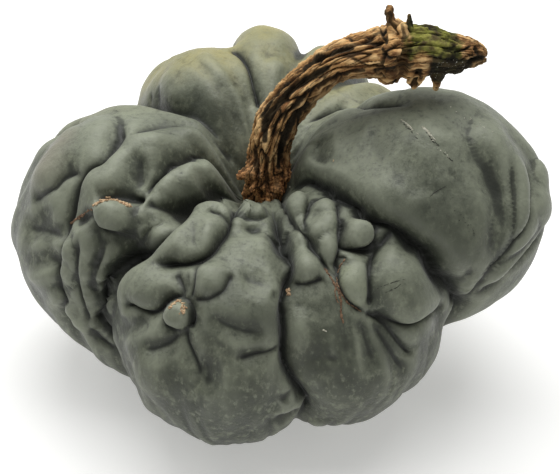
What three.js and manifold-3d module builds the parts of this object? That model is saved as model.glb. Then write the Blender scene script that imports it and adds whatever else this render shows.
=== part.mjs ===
// A deeply lobed, knobbly grey-green pumpkin with a dry, arching stem.
// Millimetres, +Z up. It lies on the plane Z = 0, on a small flat spot round the Z axis.
import * as THREE from 'three';
import { mergeVertices } from 'three/addons/utils/BufferGeometryUtils.js';
import Module from 'manifold-3d';

const wasm = await Module();
wasm.setup();

// Driving sizes
const HEART_HEIGHT = 82;
const HEART = new THREE.Vector3(0, 0, HEART_HEIGHT);
const SKIN_SEGMENTS = 31;
const LOBE_BLEND = 6;
const BULGE_BLEND = 3;
const FOLD_SHARPNESS = 3;
const FADE_LENGTH = 0.15;
const FADED_DEPTH = 0.2;
const LINE_STEPS = 3;
const SINK_STEP = 6;
const NORMAL_STEP = 2;
const RADIAL_SHARE = 0.5;
const MERGE_DISTANCE = 1e-4;
const STEM_GAP = 0.35;
const RELAX_ROUNDS = 5;
const RELAX_SHARE = 0.75;
const GENTLE_SLOPE = 0.75;
const STEEP_SLOPE = 0.45;
const DEGREE = Math.PI / 180;

// The viewpoint that surface marks are laid out from: a mark is given in picture points, and lies
// where the sight line through that point first meets the skin.
const VIEW_TARGET = new THREE.Vector3(8, 0, HEART_HEIGHT);
const VIEW_ELEVATION = 38;
const VIEW_DISTANCE = 900;
const PICTURE_WIDTH = 560;
const PICTURE_HEIGHT = 474;
const LENS_LENGTH = 103;
const SENSOR_WIDTH = 36;
const NEAREST_SKIN = 600;
const FARTHEST_SKIN = 1200;
const SIGHT_STEP = 3;
const SIGHT_HALVINGS = 12;

// Lobes round the heart: direction in degrees, distance from the axis, height of the middle,
// and half sizes outward, along the girth and upward.
const LOBES = {
  left: { azimuth: 177, out: 76, height: 84, half: [66, 65, 71] },
  leftLow: { azimuth: 208, out: 60, height: 56, half: [48, 40, 46] },
  frontLeft: { azimuth: 251, out: 57, height: 64, half: [64, 60, 66] },
  frontRight: { azimuth: 308, out: 54, height: 69, half: [65, 59, 66] },
  right: { azimuth: 354, out: 83, height: 110, half: [71, 60, 67] },
  backRight: { azimuth: 45, out: 60, height: 79, half: [66, 52, 70] },
  backLeft: { azimuth: 119, out: 67, height: 91, half: [60, 43, 72] },
  back: { azimuth: 89, out: 73, height: 90, half: [65, 40, 78] },
  core: { azimuth: 0, out: 0, height: 50, half: [66, 66, 54] },
};

// Rounded bulges that swell out of the lobes: picture points, ball radius, and lift above the skin.
const BULGES = {
  longBulge: { at: [[166, 247], [188, 233], [211, 219]], radius: 20, lift: 9 },
  hubLumps: { at: [[212, 200], [226, 203], [238, 199]], radius: 8, lift: 3 },
  roundBulge: { at: [[144, 286]], radius: 22, lift: 10 },
  sideBulge: { at: [[210, 277]], radius: 13, lift: 4 },
  frontBelly: { at: [[256, 300]], radius: 30, lift: 4 },
  frontShoulder: { at: [[257, 243]], radius: 16, lift: 3 },
  lowLeftBelly: { at: [[140, 345], [150, 372]], radius: 20, lift: 3 },
  lowBelly: { at: [[225, 400], [265, 380]], radius: 30, lift: 2 },
  hubRidge: { at: [[296, 206], [305, 228]], radius: 12, lift: 4 },
  fingerBulge: { at: [[324, 210], [327, 230], [332, 250]], radius: 12, lift: 6 },
  bigBulge: { at: [[402, 276], [415, 298]], radius: 24, lift: 10 },
  paleKnob: { at: [[352, 282]], radius: 12, lift: 4 },
  underBulge: { at: [[300, 262], [312, 262]], radius: 13, lift: 3 },
  lowBulge: { at: [[298, 330]], radius: 14, lift: 3 },
  lowerBelly: { at: [[340, 385], [380, 375]], radius: 32, lift: 2 },
  outerRoll: { at: [[62, 146], [44, 178], [40, 212], [40, 246], [48, 280]], radius: 19, lift: 6 },
  outerRollTop: { at: [[95, 135]], radius: 22, lift: 5 },
  innerTopRoll: { at: [[152, 143], [178, 138], [205, 147]], radius: 22, lift: 5 },
  innerMiddleRoll: { at: [[168, 180], [188, 172], [210, 170]], radius: 17, lift: 5 },
  innerCrown: { at: [[104, 180], [112, 170]], radius: 20, lift: 5 },
  scarRidge: { at: [[136, 222], [158, 212]], radius: 12, lift: 4 },
  lowerLeftRoll: { at: [[96, 246], [90, 270], [94, 298], [104, 318]], radius: 15, lift: 6 },
  lowerLeftStrip: { at: [[66, 250], [66, 278], [74, 306]], radius: 10, lift: 4 },
  rightSecondRoll: { at: [[494, 140], [514, 170], [520, 204], [510, 236], [490, 264]], radius: 18, lift: 5 },
  rightFrontBelly: { at: [[400, 200], [450, 240]], radius: 44, lift: 3 },
  rightTopRoll: { at: [[425, 95], [458, 104]], radius: 20, lift: 2 },
  rightHubNose: { at: [[305, 160]], radius: 24, lift: 3 },
  backBump: { at: [[178, 92], [205, 78]], radius: 20, lift: 2 },
};

// Folds pressed into the skin: picture points along the crease, its depth, the reach of its puffed
// sides, and, for a fold that runs out of sight, a tail of [direction, elevation] pairs in degrees.
const FOLDS = {
  frontValley: {
    depth: 16, reach: 19, tail: [[277, -52], [282, -75]],
    at: [[270, 203], [277, 230], [288, 270], [286, 305], [284, 338], [290, 368], [303, 400], [307, 413]],
  },
  leftFrontValley: {
    depth: 16, reach: 19, tail: [[222, -50], [228, -75]],
    at: [[245, 192], [218, 193], [184, 211], [157, 237], [128, 264], [109, 297], [104, 328], [112, 350]],
  },
  rightFrontValley: {
    depth: 16, reach: 19, tail: [[322, -45], [325, -75]],
    at: [[287, 178], [318, 186], [350, 204], [381, 226], [414, 246], [437, 270], [457, 296], [457, 316]],
  },
  leftOuterFold: {
    depth: 10, reach: 14, tail: [[203, -45], [210, -65]],
    at: [[117, 116], [119, 134], [98, 159], [75, 179], [67, 214], [54, 250], [53, 292], [65, 317]],
  },
  leftRimFold: { depth: 4, reach: 10, at: [[120, 130], [150, 121], [184, 119], [207, 135], [237, 170]] },
  leftMiddleFold: { depth: 9, reach: 13, at: [[233, 166], [205, 152], [172, 161], [149, 185], [145, 200]] },
  scarShelf: { depth: 6, reach: 9, at: [[95, 200], [113, 194], [131, 198], [146, 200]] },
  leftBranchFold: { depth: 4, reach: 8, at: [[146, 203], [162, 207], [172, 208]] },
  scarTailFold: { depth: 3, reach: 6, at: [[92, 210], [76, 222], [69, 226]] },
  leftLowFold: { depth: 6, reach: 10, at: [[80, 240], [72, 272], [78, 308], [84, 326]] },
  leftLowCrossing: { depth: 3, reach: 7, at: [[82, 294], [97, 311], [103, 318]] },
  outerCrossing: { depth: 5, reach: 11, at: [[80, 171], [60, 178], [44, 191], [28, 203]] },
  outerLowCrossing: { depth: 4, reach: 10, at: [[27, 228], [50, 232], [62, 231]] },
  longBulgeFold: {
    depth: 10, reach: 13,
    at: [[150, 259], [184, 264], [213, 250], [231, 227], [240, 205], [255, 199]],
  },
  longBulgeTopFold: { depth: 4, reach: 8, at: [[205, 205], [222, 212], [234, 224]] },
  smallKnobFloor: { depth: 3, reach: 6, at: [[238, 222], [258, 219], [274, 222]] },
  pitFoldLeft: { depth: 4, reach: 6, at: [[174, 270], [182, 290], [184, 299]] },
  pitFoldRight: { depth: 5, reach: 8, at: [[197, 261], [193, 284], [186, 301]] },
  roundBulgeFold: { depth: 8, reach: 13, at: [[184, 299], [168, 302], [154, 314], [136, 314], [122, 305]] },
  underBulgeFold: { depth: 4, reach: 9, at: [[164, 318], [145, 320], [120, 330]] },
  thumbFold: {
    depth: 7, reach: 10,
    at: [[176, 299], [189, 309], [189, 326], [183, 338], [190, 354], [192, 364]],
  },
  sideBulgeFold: { depth: 4, reach: 10, at: [[188, 299], [208, 299], [225, 289], [234, 270]] },
  frontSmileFold: { depth: 4, reach: 12, at: [[206, 309], [224, 324], [247, 333], [272, 334]] },
  frontLowFold: { depth: 5, reach: 11, at: [[285, 344], [270, 354], [246, 359], [234, 360]] },
  hubRidgeFold: { depth: 6, reach: 10, at: [[279, 190], [284, 212], [305, 236], [326, 267], [337, 281]] },
  hubKnobFold: { depth: 4, reach: 8, at: [[328, 194], [311, 201], [304, 218], [306, 236]] },
  fingerFold: { depth: 6, reach: 9, at: [[337, 192], [341, 220], [344, 246], [338, 266], [336, 276]] },
  paleKnobLeftFold: { depth: 5, reach: 8, at: [[352, 254], [337, 279], [346, 300], [368, 314]] },
  paleKnobRightFold: { depth: 3, reach: 7, at: [[366, 256], [371, 280], [370, 311]] },
  bigBulgeFold: { depth: 9, reach: 13, at: [[370, 311], [386, 320], [406, 328], [428, 322], [446, 308]] },
  upperRayFold: { depth: 4, reach: 9, at: [[368, 314], [386, 326], [401, 342], [407, 350]] },
  lowerRayFold: { depth: 4, reach: 9, at: [[384, 330], [398, 353], [411, 366]] },
  lowerRidgeFold: { depth: 4, reach: 8, at: [[290, 285], [308, 285], [326, 276]] },
  rightTopFold: { depth: 5, reach: 12, at: [[303, 128], [322, 113], [346, 104], [374, 102], [412, 104]] },
  rightRibFold: {
    depth: 5, reach: 12,
    at: [[455, 118], [477, 148], [496, 184], [505, 225], [494, 264], [478, 286], [460, 303]],
  },
  rightRimFold: {
    depth: 6, reach: 10,
    at: [[528, 158], [537, 188], [533, 220], [509, 258], [478, 292], [460, 311]],
  },
  backMiddleFold: { depth: 8, reach: 13, at: [[229, 48], [244, 59], [252, 82], [259, 108]] },
};

// Valleys of the far side and the underside, as [direction, elevation] pairs in degrees.
const FAR_VALLEYS = {
  leftBackValley: {
    depth: 10, reach: 20,
    along: [[148, 60], [143, 30], [141, 0], [145, -30], [155, -60], [170, -80]],
  },
  backPairValley: {
    depth: 8, reach: 14,
    along: [[103, 50], [102, 25], [102, 0], [103, -25], [106, -50], [110, -72]],
  },
  backRightValley: {
    depth: 10, reach: 18,
    along: [[66, 58], [68, 30], [68, 0], [66, -30], [62, -58], [50, -80]],
  },
  rightBackValley: {
    depth: 10, reach: 18,
    along: [[24, 60], [20, 30], [18, 5], [18, -20], [15, -45], [5, -75]],
  },
};

// Small hard knobs standing on the skin: picture point, radius and height.
const KNOBS = {
  scarKnob: { at: [111, 217], radius: 12, height: 8 },
  smallKnob: { at: [251, 211], radius: 7.5, height: 4 },
  thumb: { at: [178, 313], radius: 9, height: 4 },
  hubKnob: { at: [297, 199], radius: 10, height: 3 },
  roundKnob: { at: [357, 231], radius: 10, height: 6 },
};

// Stem: a bent, ridged rod in an upright plane, given by picture points of its middle line.
const STEM_PLANE_Y = -2;
const STEM_LINE = [
  [266, 197], [268, 172], [270, 148], [274, 130], [281, 116], [290, 103], [303, 87], [318, 75], [337, 63],
  [359, 56], [382, 53], [404, 51], [428, 50], [451, 53], [468, 53], [478, 54], [484, 57],
];
const STEM_RADII = [
  14, 12.8, 11, 11.6, 11.4, 11.4, 12, 12.4, 12.4,
  12.4, 13.4, 13.2, 12.6, 10.3, 8.2, 5.6, 2.4,
];
const STEM_AROUND = 34;
const STEM_ALONG = 68;
const STEM_ROOT_DEPTH = 12;
const RIDGE_COUNT = 9;
const RIDGE_HEIGHT = 0.09;
const RIDGE_TWIST = 0.9;
const SWELL_COUNT = 4;
const SWELL_HEIGHT = 0.036;
const SWELL_TURN = 9;

// Things that stand out of the stem: foot and tip as picture points, how far each stands to the
// front of the stem's plane, the two radii, and how thick they are from front to back.
const STEM_BRANCHES = {
  prong: { from: [396, 50], to: [388, 9], front: [3, 1], foot: 8.5, tip: 2.9, thickness: 0.5 },
  tornRim: { from: [405, 48], to: [403, 26], front: [4, 3], foot: 8.5, tip: 3.4, thickness: 0.5 },
  spike: { from: [411, 44], to: [409, 15], front: [2, 1], foot: 4.2, tip: 0.6, thickness: 0.7 },
  tornRimEnd: { from: [419, 46], to: [420, 27], front: [3, 1], foot: 8, tip: 3.8, thickness: 0.6 },
  tipStub: { from: [438, 62], to: [436, 89], front: [2, 2], foot: 7, tip: 0.9, thickness: 0.9 },
  footLeft: { from: [262, 172], to: [239, 176], front: [6, 7], foot: 7, tip: 2, thickness: 1 },
  footLow: { from: [268, 188], to: [271, 202], front: [7, 14], foot: 7, tip: 2.4, thickness: 1 },
  footRight: { from: [274, 172], to: [291, 178], front: [4, 6], foot: 6.5, tip: 2.2, thickness: 1 },
};
const BRANCH_SIDES = 12;

// A short broken branch, open at its tip; its hollow is given by its own two points and radii.
const HOLLOW_STUB = { from: [421, 58], to: [412, 86], front: [7, 9], foot: 6.6, tip: 3.8, thickness: 1 };
const STUB_HOLLOW = { from: [416.5, 72], to: [411, 89], front: [8, 9.2], foot: 2.6, tip: 3, thickness: 1 };

const skinColour = 0x58605a;
const stemColour = 0xa8743f;
const SKIN_ROUGHNESS = 0.55;
const STEM_ROUGHNESS = 0.85;

function pressDirection(azimuth, elevation) {
  const level = Math.cos(elevation * DEGREE);
  return new THREE.Vector3(
    level * Math.cos(azimuth * DEGREE),
    level * Math.sin(azimuth * DEGREE),
    Math.sin(elevation * DEGREE),
  );
}

// Lobes as ellipsoids about the heart

const lobes = Object.values(LOBES).map(({ azimuth, out, height, half }) => {
  const outward = pressDirection(azimuth, 0);
  const along = pressDirection(azimuth + 90, 0);
  const toUnit = (v) => new THREE.Vector3(v.dot(outward) / half[0], v.dot(along) / half[1], v.z / half[2]);
  const middle = outward.clone().multiplyScalar(out).setZ(height - HEART_HEIGHT);
  return { toUnit, middle: toUnit(middle) };
});

const balls = [];

// Farthest reach of a ray from the heart through a unit ball at the scaled middle.
function farCrossing(ray, middle, radius) {
  const a = ray.lengthSq();
  const b = ray.dot(middle);
  const inside = b * b - a * (middle.lengthSq() - radius * radius);
  return inside > 0 ? (b + Math.sqrt(inside)) / a : 0;
}

// The largest of several reaches, rounded where two of them meet.
function smoothMost(reaches, blend) {
  const most = Math.max(...reaches);
  const sum = reaches.reduce((total, reach) => total + Math.exp((reach - most) / blend), 0);
  return most + blend * Math.log(sum);
}

function skinRadius(direction) {
  const lobeReach = smoothMost(
    lobes.map(({ toUnit, middle }) => farCrossing(toUnit(direction), middle, 1)),
    LOBE_BLEND,
  );
  const bulgeReaches = balls.map(({ middle, radius }) => farCrossing(direction, middle, radius));
  return smoothMost([lobeReach, ...bulgeReaches], BULGE_BLEND);
}

// Height of a point above the skin, measured away from the heart.
function clearance(point) {
  const ray = point.clone().sub(HEART);
  const far = ray.length();
  return far - skinRadius(ray.divideScalar(far));
}

function outwardNormal(point, step) {
  const slope = ['x', 'y', 'z'].map((axis) => {
    const ahead = point.clone();
    const behind = point.clone();
    ahead[axis] += step;
    behind[axis] -= step;
    return clearance(ahead) - clearance(behind);
  });
  return new THREE.Vector3(...slope).normalize();
}

// Sight lines

const viewBack = pressDirection(-90, VIEW_ELEVATION);
const viewRight = new THREE.Vector3(1, 0, 0);
const viewUp = viewBack.clone().cross(viewRight);
const viewEye = VIEW_TARGET.clone().addScaledVector(viewBack, VIEW_DISTANCE);

function sightLine([across, down]) {
  const scale = SENSOR_WIDTH / PICTURE_WIDTH / LENS_LENGTH;
  return viewBack.clone().negate()
    .addScaledVector(viewRight, (across - PICTURE_WIDTH / 2) * scale)
    .addScaledVector(viewUp, (PICTURE_HEIGHT / 2 - down) * scale)
    .normalize();
}

function onSkin(picturePoint) {
  const line = sightLine(picturePoint);
  const at = (distance) => viewEye.clone().addScaledVector(line, distance);
  let outside = NEAREST_SKIN;
  while (outside < FARTHEST_SKIN && clearance(at(outside + SIGHT_STEP)) > 0) outside += SIGHT_STEP;
  if (outside >= FARTHEST_SKIN) return null;
  let inside = outside + SIGHT_STEP;
  for (let i = 0; i < SIGHT_HALVINGS; i += 1) {
    const middle = (outside + inside) / 2;
    if (clearance(at(middle)) > 0) outside = middle;
    else inside = middle;
  }
  return at(inside);
}

function onPlane(picturePoint, y) {
  const line = sightLine(picturePoint);
  return viewEye.clone().addScaledVector(line, (y - viewEye.y) / line.y);
}

function inDirection([azimuth, elevation]) {
  const direction = pressDirection(azimuth, elevation);
  return HEART.clone().addScaledVector(direction, skinRadius(direction));
}

// Bulges: balls sunk under the skin of the bare lobes

const sunkenBalls = Object.values(BULGES).flatMap(({ at, radius, lift }) => at.map((picturePoint) => {
  const foot = onSkin(picturePoint);
  const normal = outwardNormal(foot, SINK_STEP);
  return { middle: foot.addScaledVector(normal, lift - radius).sub(HEART), radius };
}));
balls.push(...sunkenBalls);

// Folds and knobs on the bulged skin

function foldLine(points, depth, reach, runsOn) {
  const curve = new THREE.CatmullRomCurve3(points, false, 'centripetal');
  const line = curve.getPoints(points.length * LINE_STEPS);
  const box = new THREE.Box3().setFromPoints(line).expandByScalar(reach);
  return { line, depth, reach, box, runsOn };
}

const foldLines = Object.values(FOLDS).map(({ at, depth, reach, tail = [] }) => {
  const seen = at.map(onSkin).filter((point) => point !== null);
  return foldLine([...seen, ...tail.map(inDirection)], depth, reach, tail.length > 0);
});
Object.values(FAR_VALLEYS).forEach(({ depth, reach, along }) => {
  foldLines.push(foldLine(along.map(inDirection), depth, reach, true));
});

const knobs = Object.values(KNOBS).map(({ at, radius, height }) => ({ middle: onSkin(at), radius, height }));

function nearestOnLine(point, line) {
  const piece = new THREE.Line3();
  const foot = new THREE.Vector3();
  let distance = Infinity;
  let share = 0;
  for (let i = 1; i < line.length; i += 1) {
    piece.set(line[i - 1], line[i]).closestPointToPoint(point, true, foot);
    const away = foot.distanceTo(point);
    if (away < distance) {
      distance = away;
      share = (i - 0.5) / (line.length - 1);
    }
  }
  return { distance, share };
}

// Depth of the skin's relief at a point: puffed cushions between sharp creases, with knobs on them.
function relief(point) {
  let pressed = 0;
  foldLines.forEach(({ line, depth, reach, box, runsOn }) => {
    if (!box.containsPoint(point)) return;
    const { distance, share } = nearestOnLine(point, line);
    if (distance >= reach) return;
    const x = distance / reach;
    const cushion = 1 - Math.sqrt(2 * x - x * x);
    const end = runsOn ? 1 - share : Math.min(share, 1 - share);
    const fade = THREE.MathUtils.smoothstep(end, 0, FADE_LENGTH);
    pressed += (depth * cushion * THREE.MathUtils.lerp(FADED_DEPTH, 1, fade)) ** FOLD_SHARPNESS;
  });
  let height = -(pressed ** (1 / FOLD_SHARPNESS));
  knobs.forEach(({ middle, radius, height: rise }) => {
    const x = Math.min(point.distanceTo(middle) / radius, 1);
    height += rise * Math.sqrt(1 - x * x);
  });
  return height;
}

// A box's grid blown up into a ball, then into the skin

// Moves corners on steep walls part of the way to the middle of their neighbours, which evens the walls.
function relax(geometry) {
  const position = geometry.getAttribute('position');
  const corners = geometry.index.array;
  const sums = new Float64Array(position.count * 3);
  const counts = new Float64Array(position.count);
  for (let i = 0; i < corners.length; i += 3) {
    for (let k = 0; k < 3; k += 1) {
      const to = corners[i + k];
      [corners[i + (k + 1) % 3], corners[i + (k + 2) % 3]].forEach((from) => {
        sums[3 * to] += position.getX(from);
        sums[3 * to + 1] += position.getY(from);
        sums[3 * to + 2] += position.getZ(from);
        counts[to] += 1;
      });
    }
  }
  geometry.computeVertexNormals();
  const normal = geometry.getAttribute('normal');
  for (let i = 0; i < position.count; i += 1) {
    const corner = new THREE.Vector3().fromBufferAttribute(position, i);
    const middle = new THREE.Vector3().fromArray(sums, 3 * i).divideScalar(counts[i]);
    const outward = corner.clone().sub(HEART).normalize();
    const facing = new THREE.Vector3().fromBufferAttribute(normal, i).dot(outward);
    const steepness = 1 - THREE.MathUtils.smoothstep(facing, STEEP_SLOPE, GENTLE_SLOPE);
    corner.lerp(middle, RELAX_SHARE * steepness);
    position.setXYZ(i, corner.x, corner.y, corner.z);
  }
}

function bareGeometry(geometry) {
  geometry.deleteAttribute('normal');
  geometry.deleteAttribute('uv');
  return mergeVertices(geometry, MERGE_DISTANCE);
}

function fruitGeometry(swell) {
  const box = new THREE.BoxGeometry(2, 2, 2, SKIN_SEGMENTS, SKIN_SEGMENTS, SKIN_SEGMENTS);
  const geometry = bareGeometry(box);
  const position = geometry.getAttribute('position');
  const even = (value) => Math.tan(value * Math.PI / 4);
  for (let i = 0; i < position.count; i += 1) {
    const direction = new THREE.Vector3().fromBufferAttribute(position, i);
    direction.set(even(direction.x), even(direction.y), even(direction.z)).normalize();
    const skin = HEART.clone().addScaledVector(direction, skinRadius(direction));
    const press = outwardNormal(skin, NORMAL_STEP).addScaledVector(direction, RADIAL_SHARE).normalize();
    skin.addScaledVector(press, relief(skin));
    position.setXYZ(i, skin.x, skin.y, skin.z);
  }
  for (let round = 0; round < RELAX_ROUNDS; round += 1) relax(geometry);
  geometry.computeVertexNormals();
  const normal = geometry.getAttribute('normal');
  for (let i = 0; i < position.count; i += 1) {
    const skin = new THREE.Vector3().fromBufferAttribute(position, i);
    skin.addScaledVector(new THREE.Vector3().fromBufferAttribute(normal, i), swell);
    position.setXYZ(i, skin.x, skin.y, Math.max(skin.z, -swell));
  }
  geometry.deleteAttribute('normal');
  return geometry;
}

// Stem

function solidOf(geometry) {
  return new wasm.Manifold(new wasm.Mesh({
    numProp: 3,
    vertProperties: new Float32Array(geometry.getAttribute('position').array),
    triVerts: new Uint32Array(geometry.index.array),
  }));
}

function geometryOf(solid) {
  const { vertProperties, triVerts } = solid.getMesh();
  const geometry = new THREE.BufferGeometry();
  geometry.setAttribute('position', new THREE.BufferAttribute(vertProperties, 3));
  geometry.setIndex(new THREE.BufferAttribute(triVerts, 1));
  return geometry;
}

function between(values, share) {
  const place = share * (values.length - 1);
  const before = Math.min(Math.floor(place), values.length - 2);
  return THREE.MathUtils.lerp(values[before], values[before + 1], place - before);
}

function stemRod() {
  const points = STEM_LINE.map((picturePoint) => onPlane(picturePoint, STEM_PLANE_Y));
  const root = points[0].clone();
  root.z -= STEM_ROOT_DEPTH;
  const curve = new THREE.CatmullRomCurve3([root, ...points.slice(1)], false, 'centripetal');
  const rod = bareGeometry(new THREE.CylinderGeometry(1, 1, 1, STEM_AROUND, STEM_ALONG));
  const position = rod.getAttribute('position');
  const side = new THREE.Vector3(0, 1, 0);
  for (let i = 0; i < position.count; i += 1) {
    const share = position.getY(i) + 0.5;
    const middle = curve.getPoint(share);
    const ahead = curve.getTangent(share);
    const over = ahead.clone().cross(side).normalize();
    const turn = Math.atan2(position.getZ(i), position.getX(i));
    const spread = Math.hypot(position.getX(i), position.getZ(i));
    const ridges = 1 + RIDGE_HEIGHT * Math.cos(RIDGE_COUNT * (turn + RIDGE_TWIST * share))
      + SWELL_HEIGHT * Math.cos(SWELL_COUNT * turn + SWELL_TURN * share);
    const radius = spread * between(STEM_RADII, share) * ridges;
    middle.addScaledVector(over, radius * Math.cos(turn)).addScaledVector(side, radius * Math.sin(turn));
    position.setXYZ(i, middle.x, middle.y, middle.z);
  }
  return rod;
}

function branchRod({ from, to, front, foot, tip, thickness }) {
  const start = onPlane(from, STEM_PLANE_Y - front[0]);
  const end = onPlane(to, STEM_PLANE_Y - front[1]);
  const rod = bareGeometry(new THREE.CylinderGeometry(tip, foot, start.distanceTo(end), BRANCH_SIDES, 1));
  const turn = new THREE.Quaternion().setFromUnitVectors(
    new THREE.Vector3(0, 1, 0),
    end.clone().sub(start).normalize(),
  );
  rod.scale(1, 1, thickness);
  rod.applyQuaternion(turn);
  rod.translate(...start.add(end).divideScalar(2).toArray());
  return rod;
}

function stemGeometry() {
  const branches = [...Object.values(STEM_BRANCHES), HOLLOW_STUB];
  const whole = branches
    .reduce((joined, branch) => joined.add(solidOf(branchRod(branch))), solidOf(stemRod()))
    .subtract(solidOf(branchRod(STUB_HOLLOW)))
    .subtract(solidOf(fruitGeometry(STEM_GAP)));
  return geometryOf(whole);
}

function node(name, geometry, colour, roughness) {
  const material = new THREE.MeshStandardMaterial({ color: colour, roughness, metalness: 0 });
  const mesh = new THREE.Mesh(geometry, material);
  mesh.name = name;
  return mesh;
}

const group = new THREE.Group();
group.add(node('fruit', fruitGeometry(0), skinColour, SKIN_ROUGHNESS));
group.add(node('stem', stemGeometry(), stemColour, STEM_ROUGHNESS));

export default group;
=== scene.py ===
import math
import random

import bmesh
import bpy
import numpy as np
from mathutils import Matrix, Vector, noise
from mathutils.bvhtree import BVHTree


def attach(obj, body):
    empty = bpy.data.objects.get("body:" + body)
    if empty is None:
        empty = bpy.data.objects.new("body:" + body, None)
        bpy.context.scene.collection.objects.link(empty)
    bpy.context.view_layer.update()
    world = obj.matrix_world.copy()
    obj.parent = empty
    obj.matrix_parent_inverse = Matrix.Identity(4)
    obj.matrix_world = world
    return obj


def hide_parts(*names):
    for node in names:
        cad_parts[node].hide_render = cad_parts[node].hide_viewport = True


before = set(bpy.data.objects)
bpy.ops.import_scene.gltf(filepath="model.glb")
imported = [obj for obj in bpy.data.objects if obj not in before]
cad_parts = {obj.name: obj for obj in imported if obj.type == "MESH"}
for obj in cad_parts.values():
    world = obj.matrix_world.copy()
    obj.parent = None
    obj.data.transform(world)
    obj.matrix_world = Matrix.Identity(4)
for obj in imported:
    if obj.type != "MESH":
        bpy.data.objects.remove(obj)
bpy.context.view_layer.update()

# Tables below are in millimetres and degrees; meshes are in metres.
MM = 0.001

# The heart of the fruit: the point over the rest spot that its skin is measured from
HEART = np.array([0.0, 0.0, 82.0])

# The viewpoint of the camera. Marks on the skin are given in picture points of a 560 by 474 frame,
# and lie where the sight line through that point first meets the skin.
VIEW_TARGET = np.array([8.0, 0.0, 82.0])
VIEW_ELEVATION = 38.0
VIEW_DISTANCE = 900.0
PICTURE_WIDTH = 560
PICTURE_HEIGHT = 474
LENS_LENGTH = 103.0
SENSOR_WIDTH = 36.0
NEAREST_SKIN = 650.0
FARTHEST_SKIN = 1100.0
SIGHT_STEP = 3.0

# Lobes round the heart: direction, distance from the axis, height of the middle above the ground,
# and half sizes outward, along the girth and upward
LOBES = {
    "left": (177, 76, 84, (66, 65, 71)),
    "left low": (208, 60, 56, (48, 40, 46)),
    "front left": (251, 57, 64, (64, 60, 66)),
    "front right": (308, 54, 69, (65, 59, 66)),
    "right": (354, 83, 110, (71, 60, 67)),
    "back right": (45, 60, 79, (66, 52, 70)),
    "back left": (119, 67, 91, (60, 43, 72)),
    "back": (91.5, 73, 89, (65, 40, 78)),
    "back shoulder": (66, 75, 85, (59, 29, 72)),
    "core": (0, 0, 50, (66, 66, 54)),
}
LOBE_BLEND = 6.0
BULGE_BLEND = 3.0

# Rounded bulges that swell out of the lobes: picture points, ball radius and lift above the skin
BULGES = {
    "long bulge": ([(166, 247), (188, 233), (211, 219)], 20, 9),
    "hub lumps": ([(212, 200), (226, 203), (238, 199)], 8, 3),
    "round bulge": ([(144, 286)], 22, 10),
    "side bulge": ([(210, 277)], 13, 4),
    "front belly": ([(256, 300)], 30, 4),
    "front shoulder": ([(257, 243)], 16, 3),
    "low left belly": ([(140, 345), (150, 372)], 20, 3),
    "low belly": ([(225, 400), (265, 380)], 30, 2),
    "hub ridge": ([(296, 206), (305, 228)], 12, 4),
    "finger bulge": ([(324, 210), (327, 230), (332, 250)], 12, 6),
    "big bulge": ([(402, 276), (415, 298)], 24, 10),
    "pale knob": ([(352, 282)], 12, 4),
    "under bulge": ([(300, 262), (312, 262)], 13, 3),
    "low bulge": ([(298, 330)], 14, 3),
    "lower belly": ([(340, 385), (380, 375)], 32, 2),
    "outer roll": ([(62, 146), (47, 176), (50, 284)], 19, 4.5),
    "outer roll top": ([(95, 135)], 22, 5),
    "inner top roll": ([(152, 144), (178, 137), (203, 146)], 23, 7),
    "inner middle roll": ([(168, 180), (188, 172), (210, 170)], 17, 5),
    "inner crown": ([(104, 180), (112, 170)], 20, 5),
    "scar ridge": ([(136, 222), (158, 212)], 12, 4),
    "lower left roll": ([(88, 246), (82, 270), (83, 296), (90, 318)], 12, 6),
    "lower left inner roll": ([(108, 254), (101, 278), (101, 304)], 11, 5),
    "lower left strip": ([(66, 248), (65, 276), (69, 304)], 9, 5),
    "right second roll": ([(494, 140), (514, 170), (520, 204), (510, 236), (490, 264)], 18, 5),
    "right front belly": ([(400, 200), (450, 240)], 44, 3),
    "rim bump": ([(541, 176)], 9, 2),
    "rim bump low": ([(543, 205)], 13, 4),
    "right top roll": ([(425, 95), (458, 104)], 20, 2),
    "right hub nose": ([(305, 160)], 24, 3),
    "back bump": ([(178, 92), (205, 78)], 20, 2),
}
KNOB_BALLS = {
    "scar knob": ([(111, 218)], 13, 9.5),
    "round knob": ([(359, 231)], 10.5, 7),
}

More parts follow.
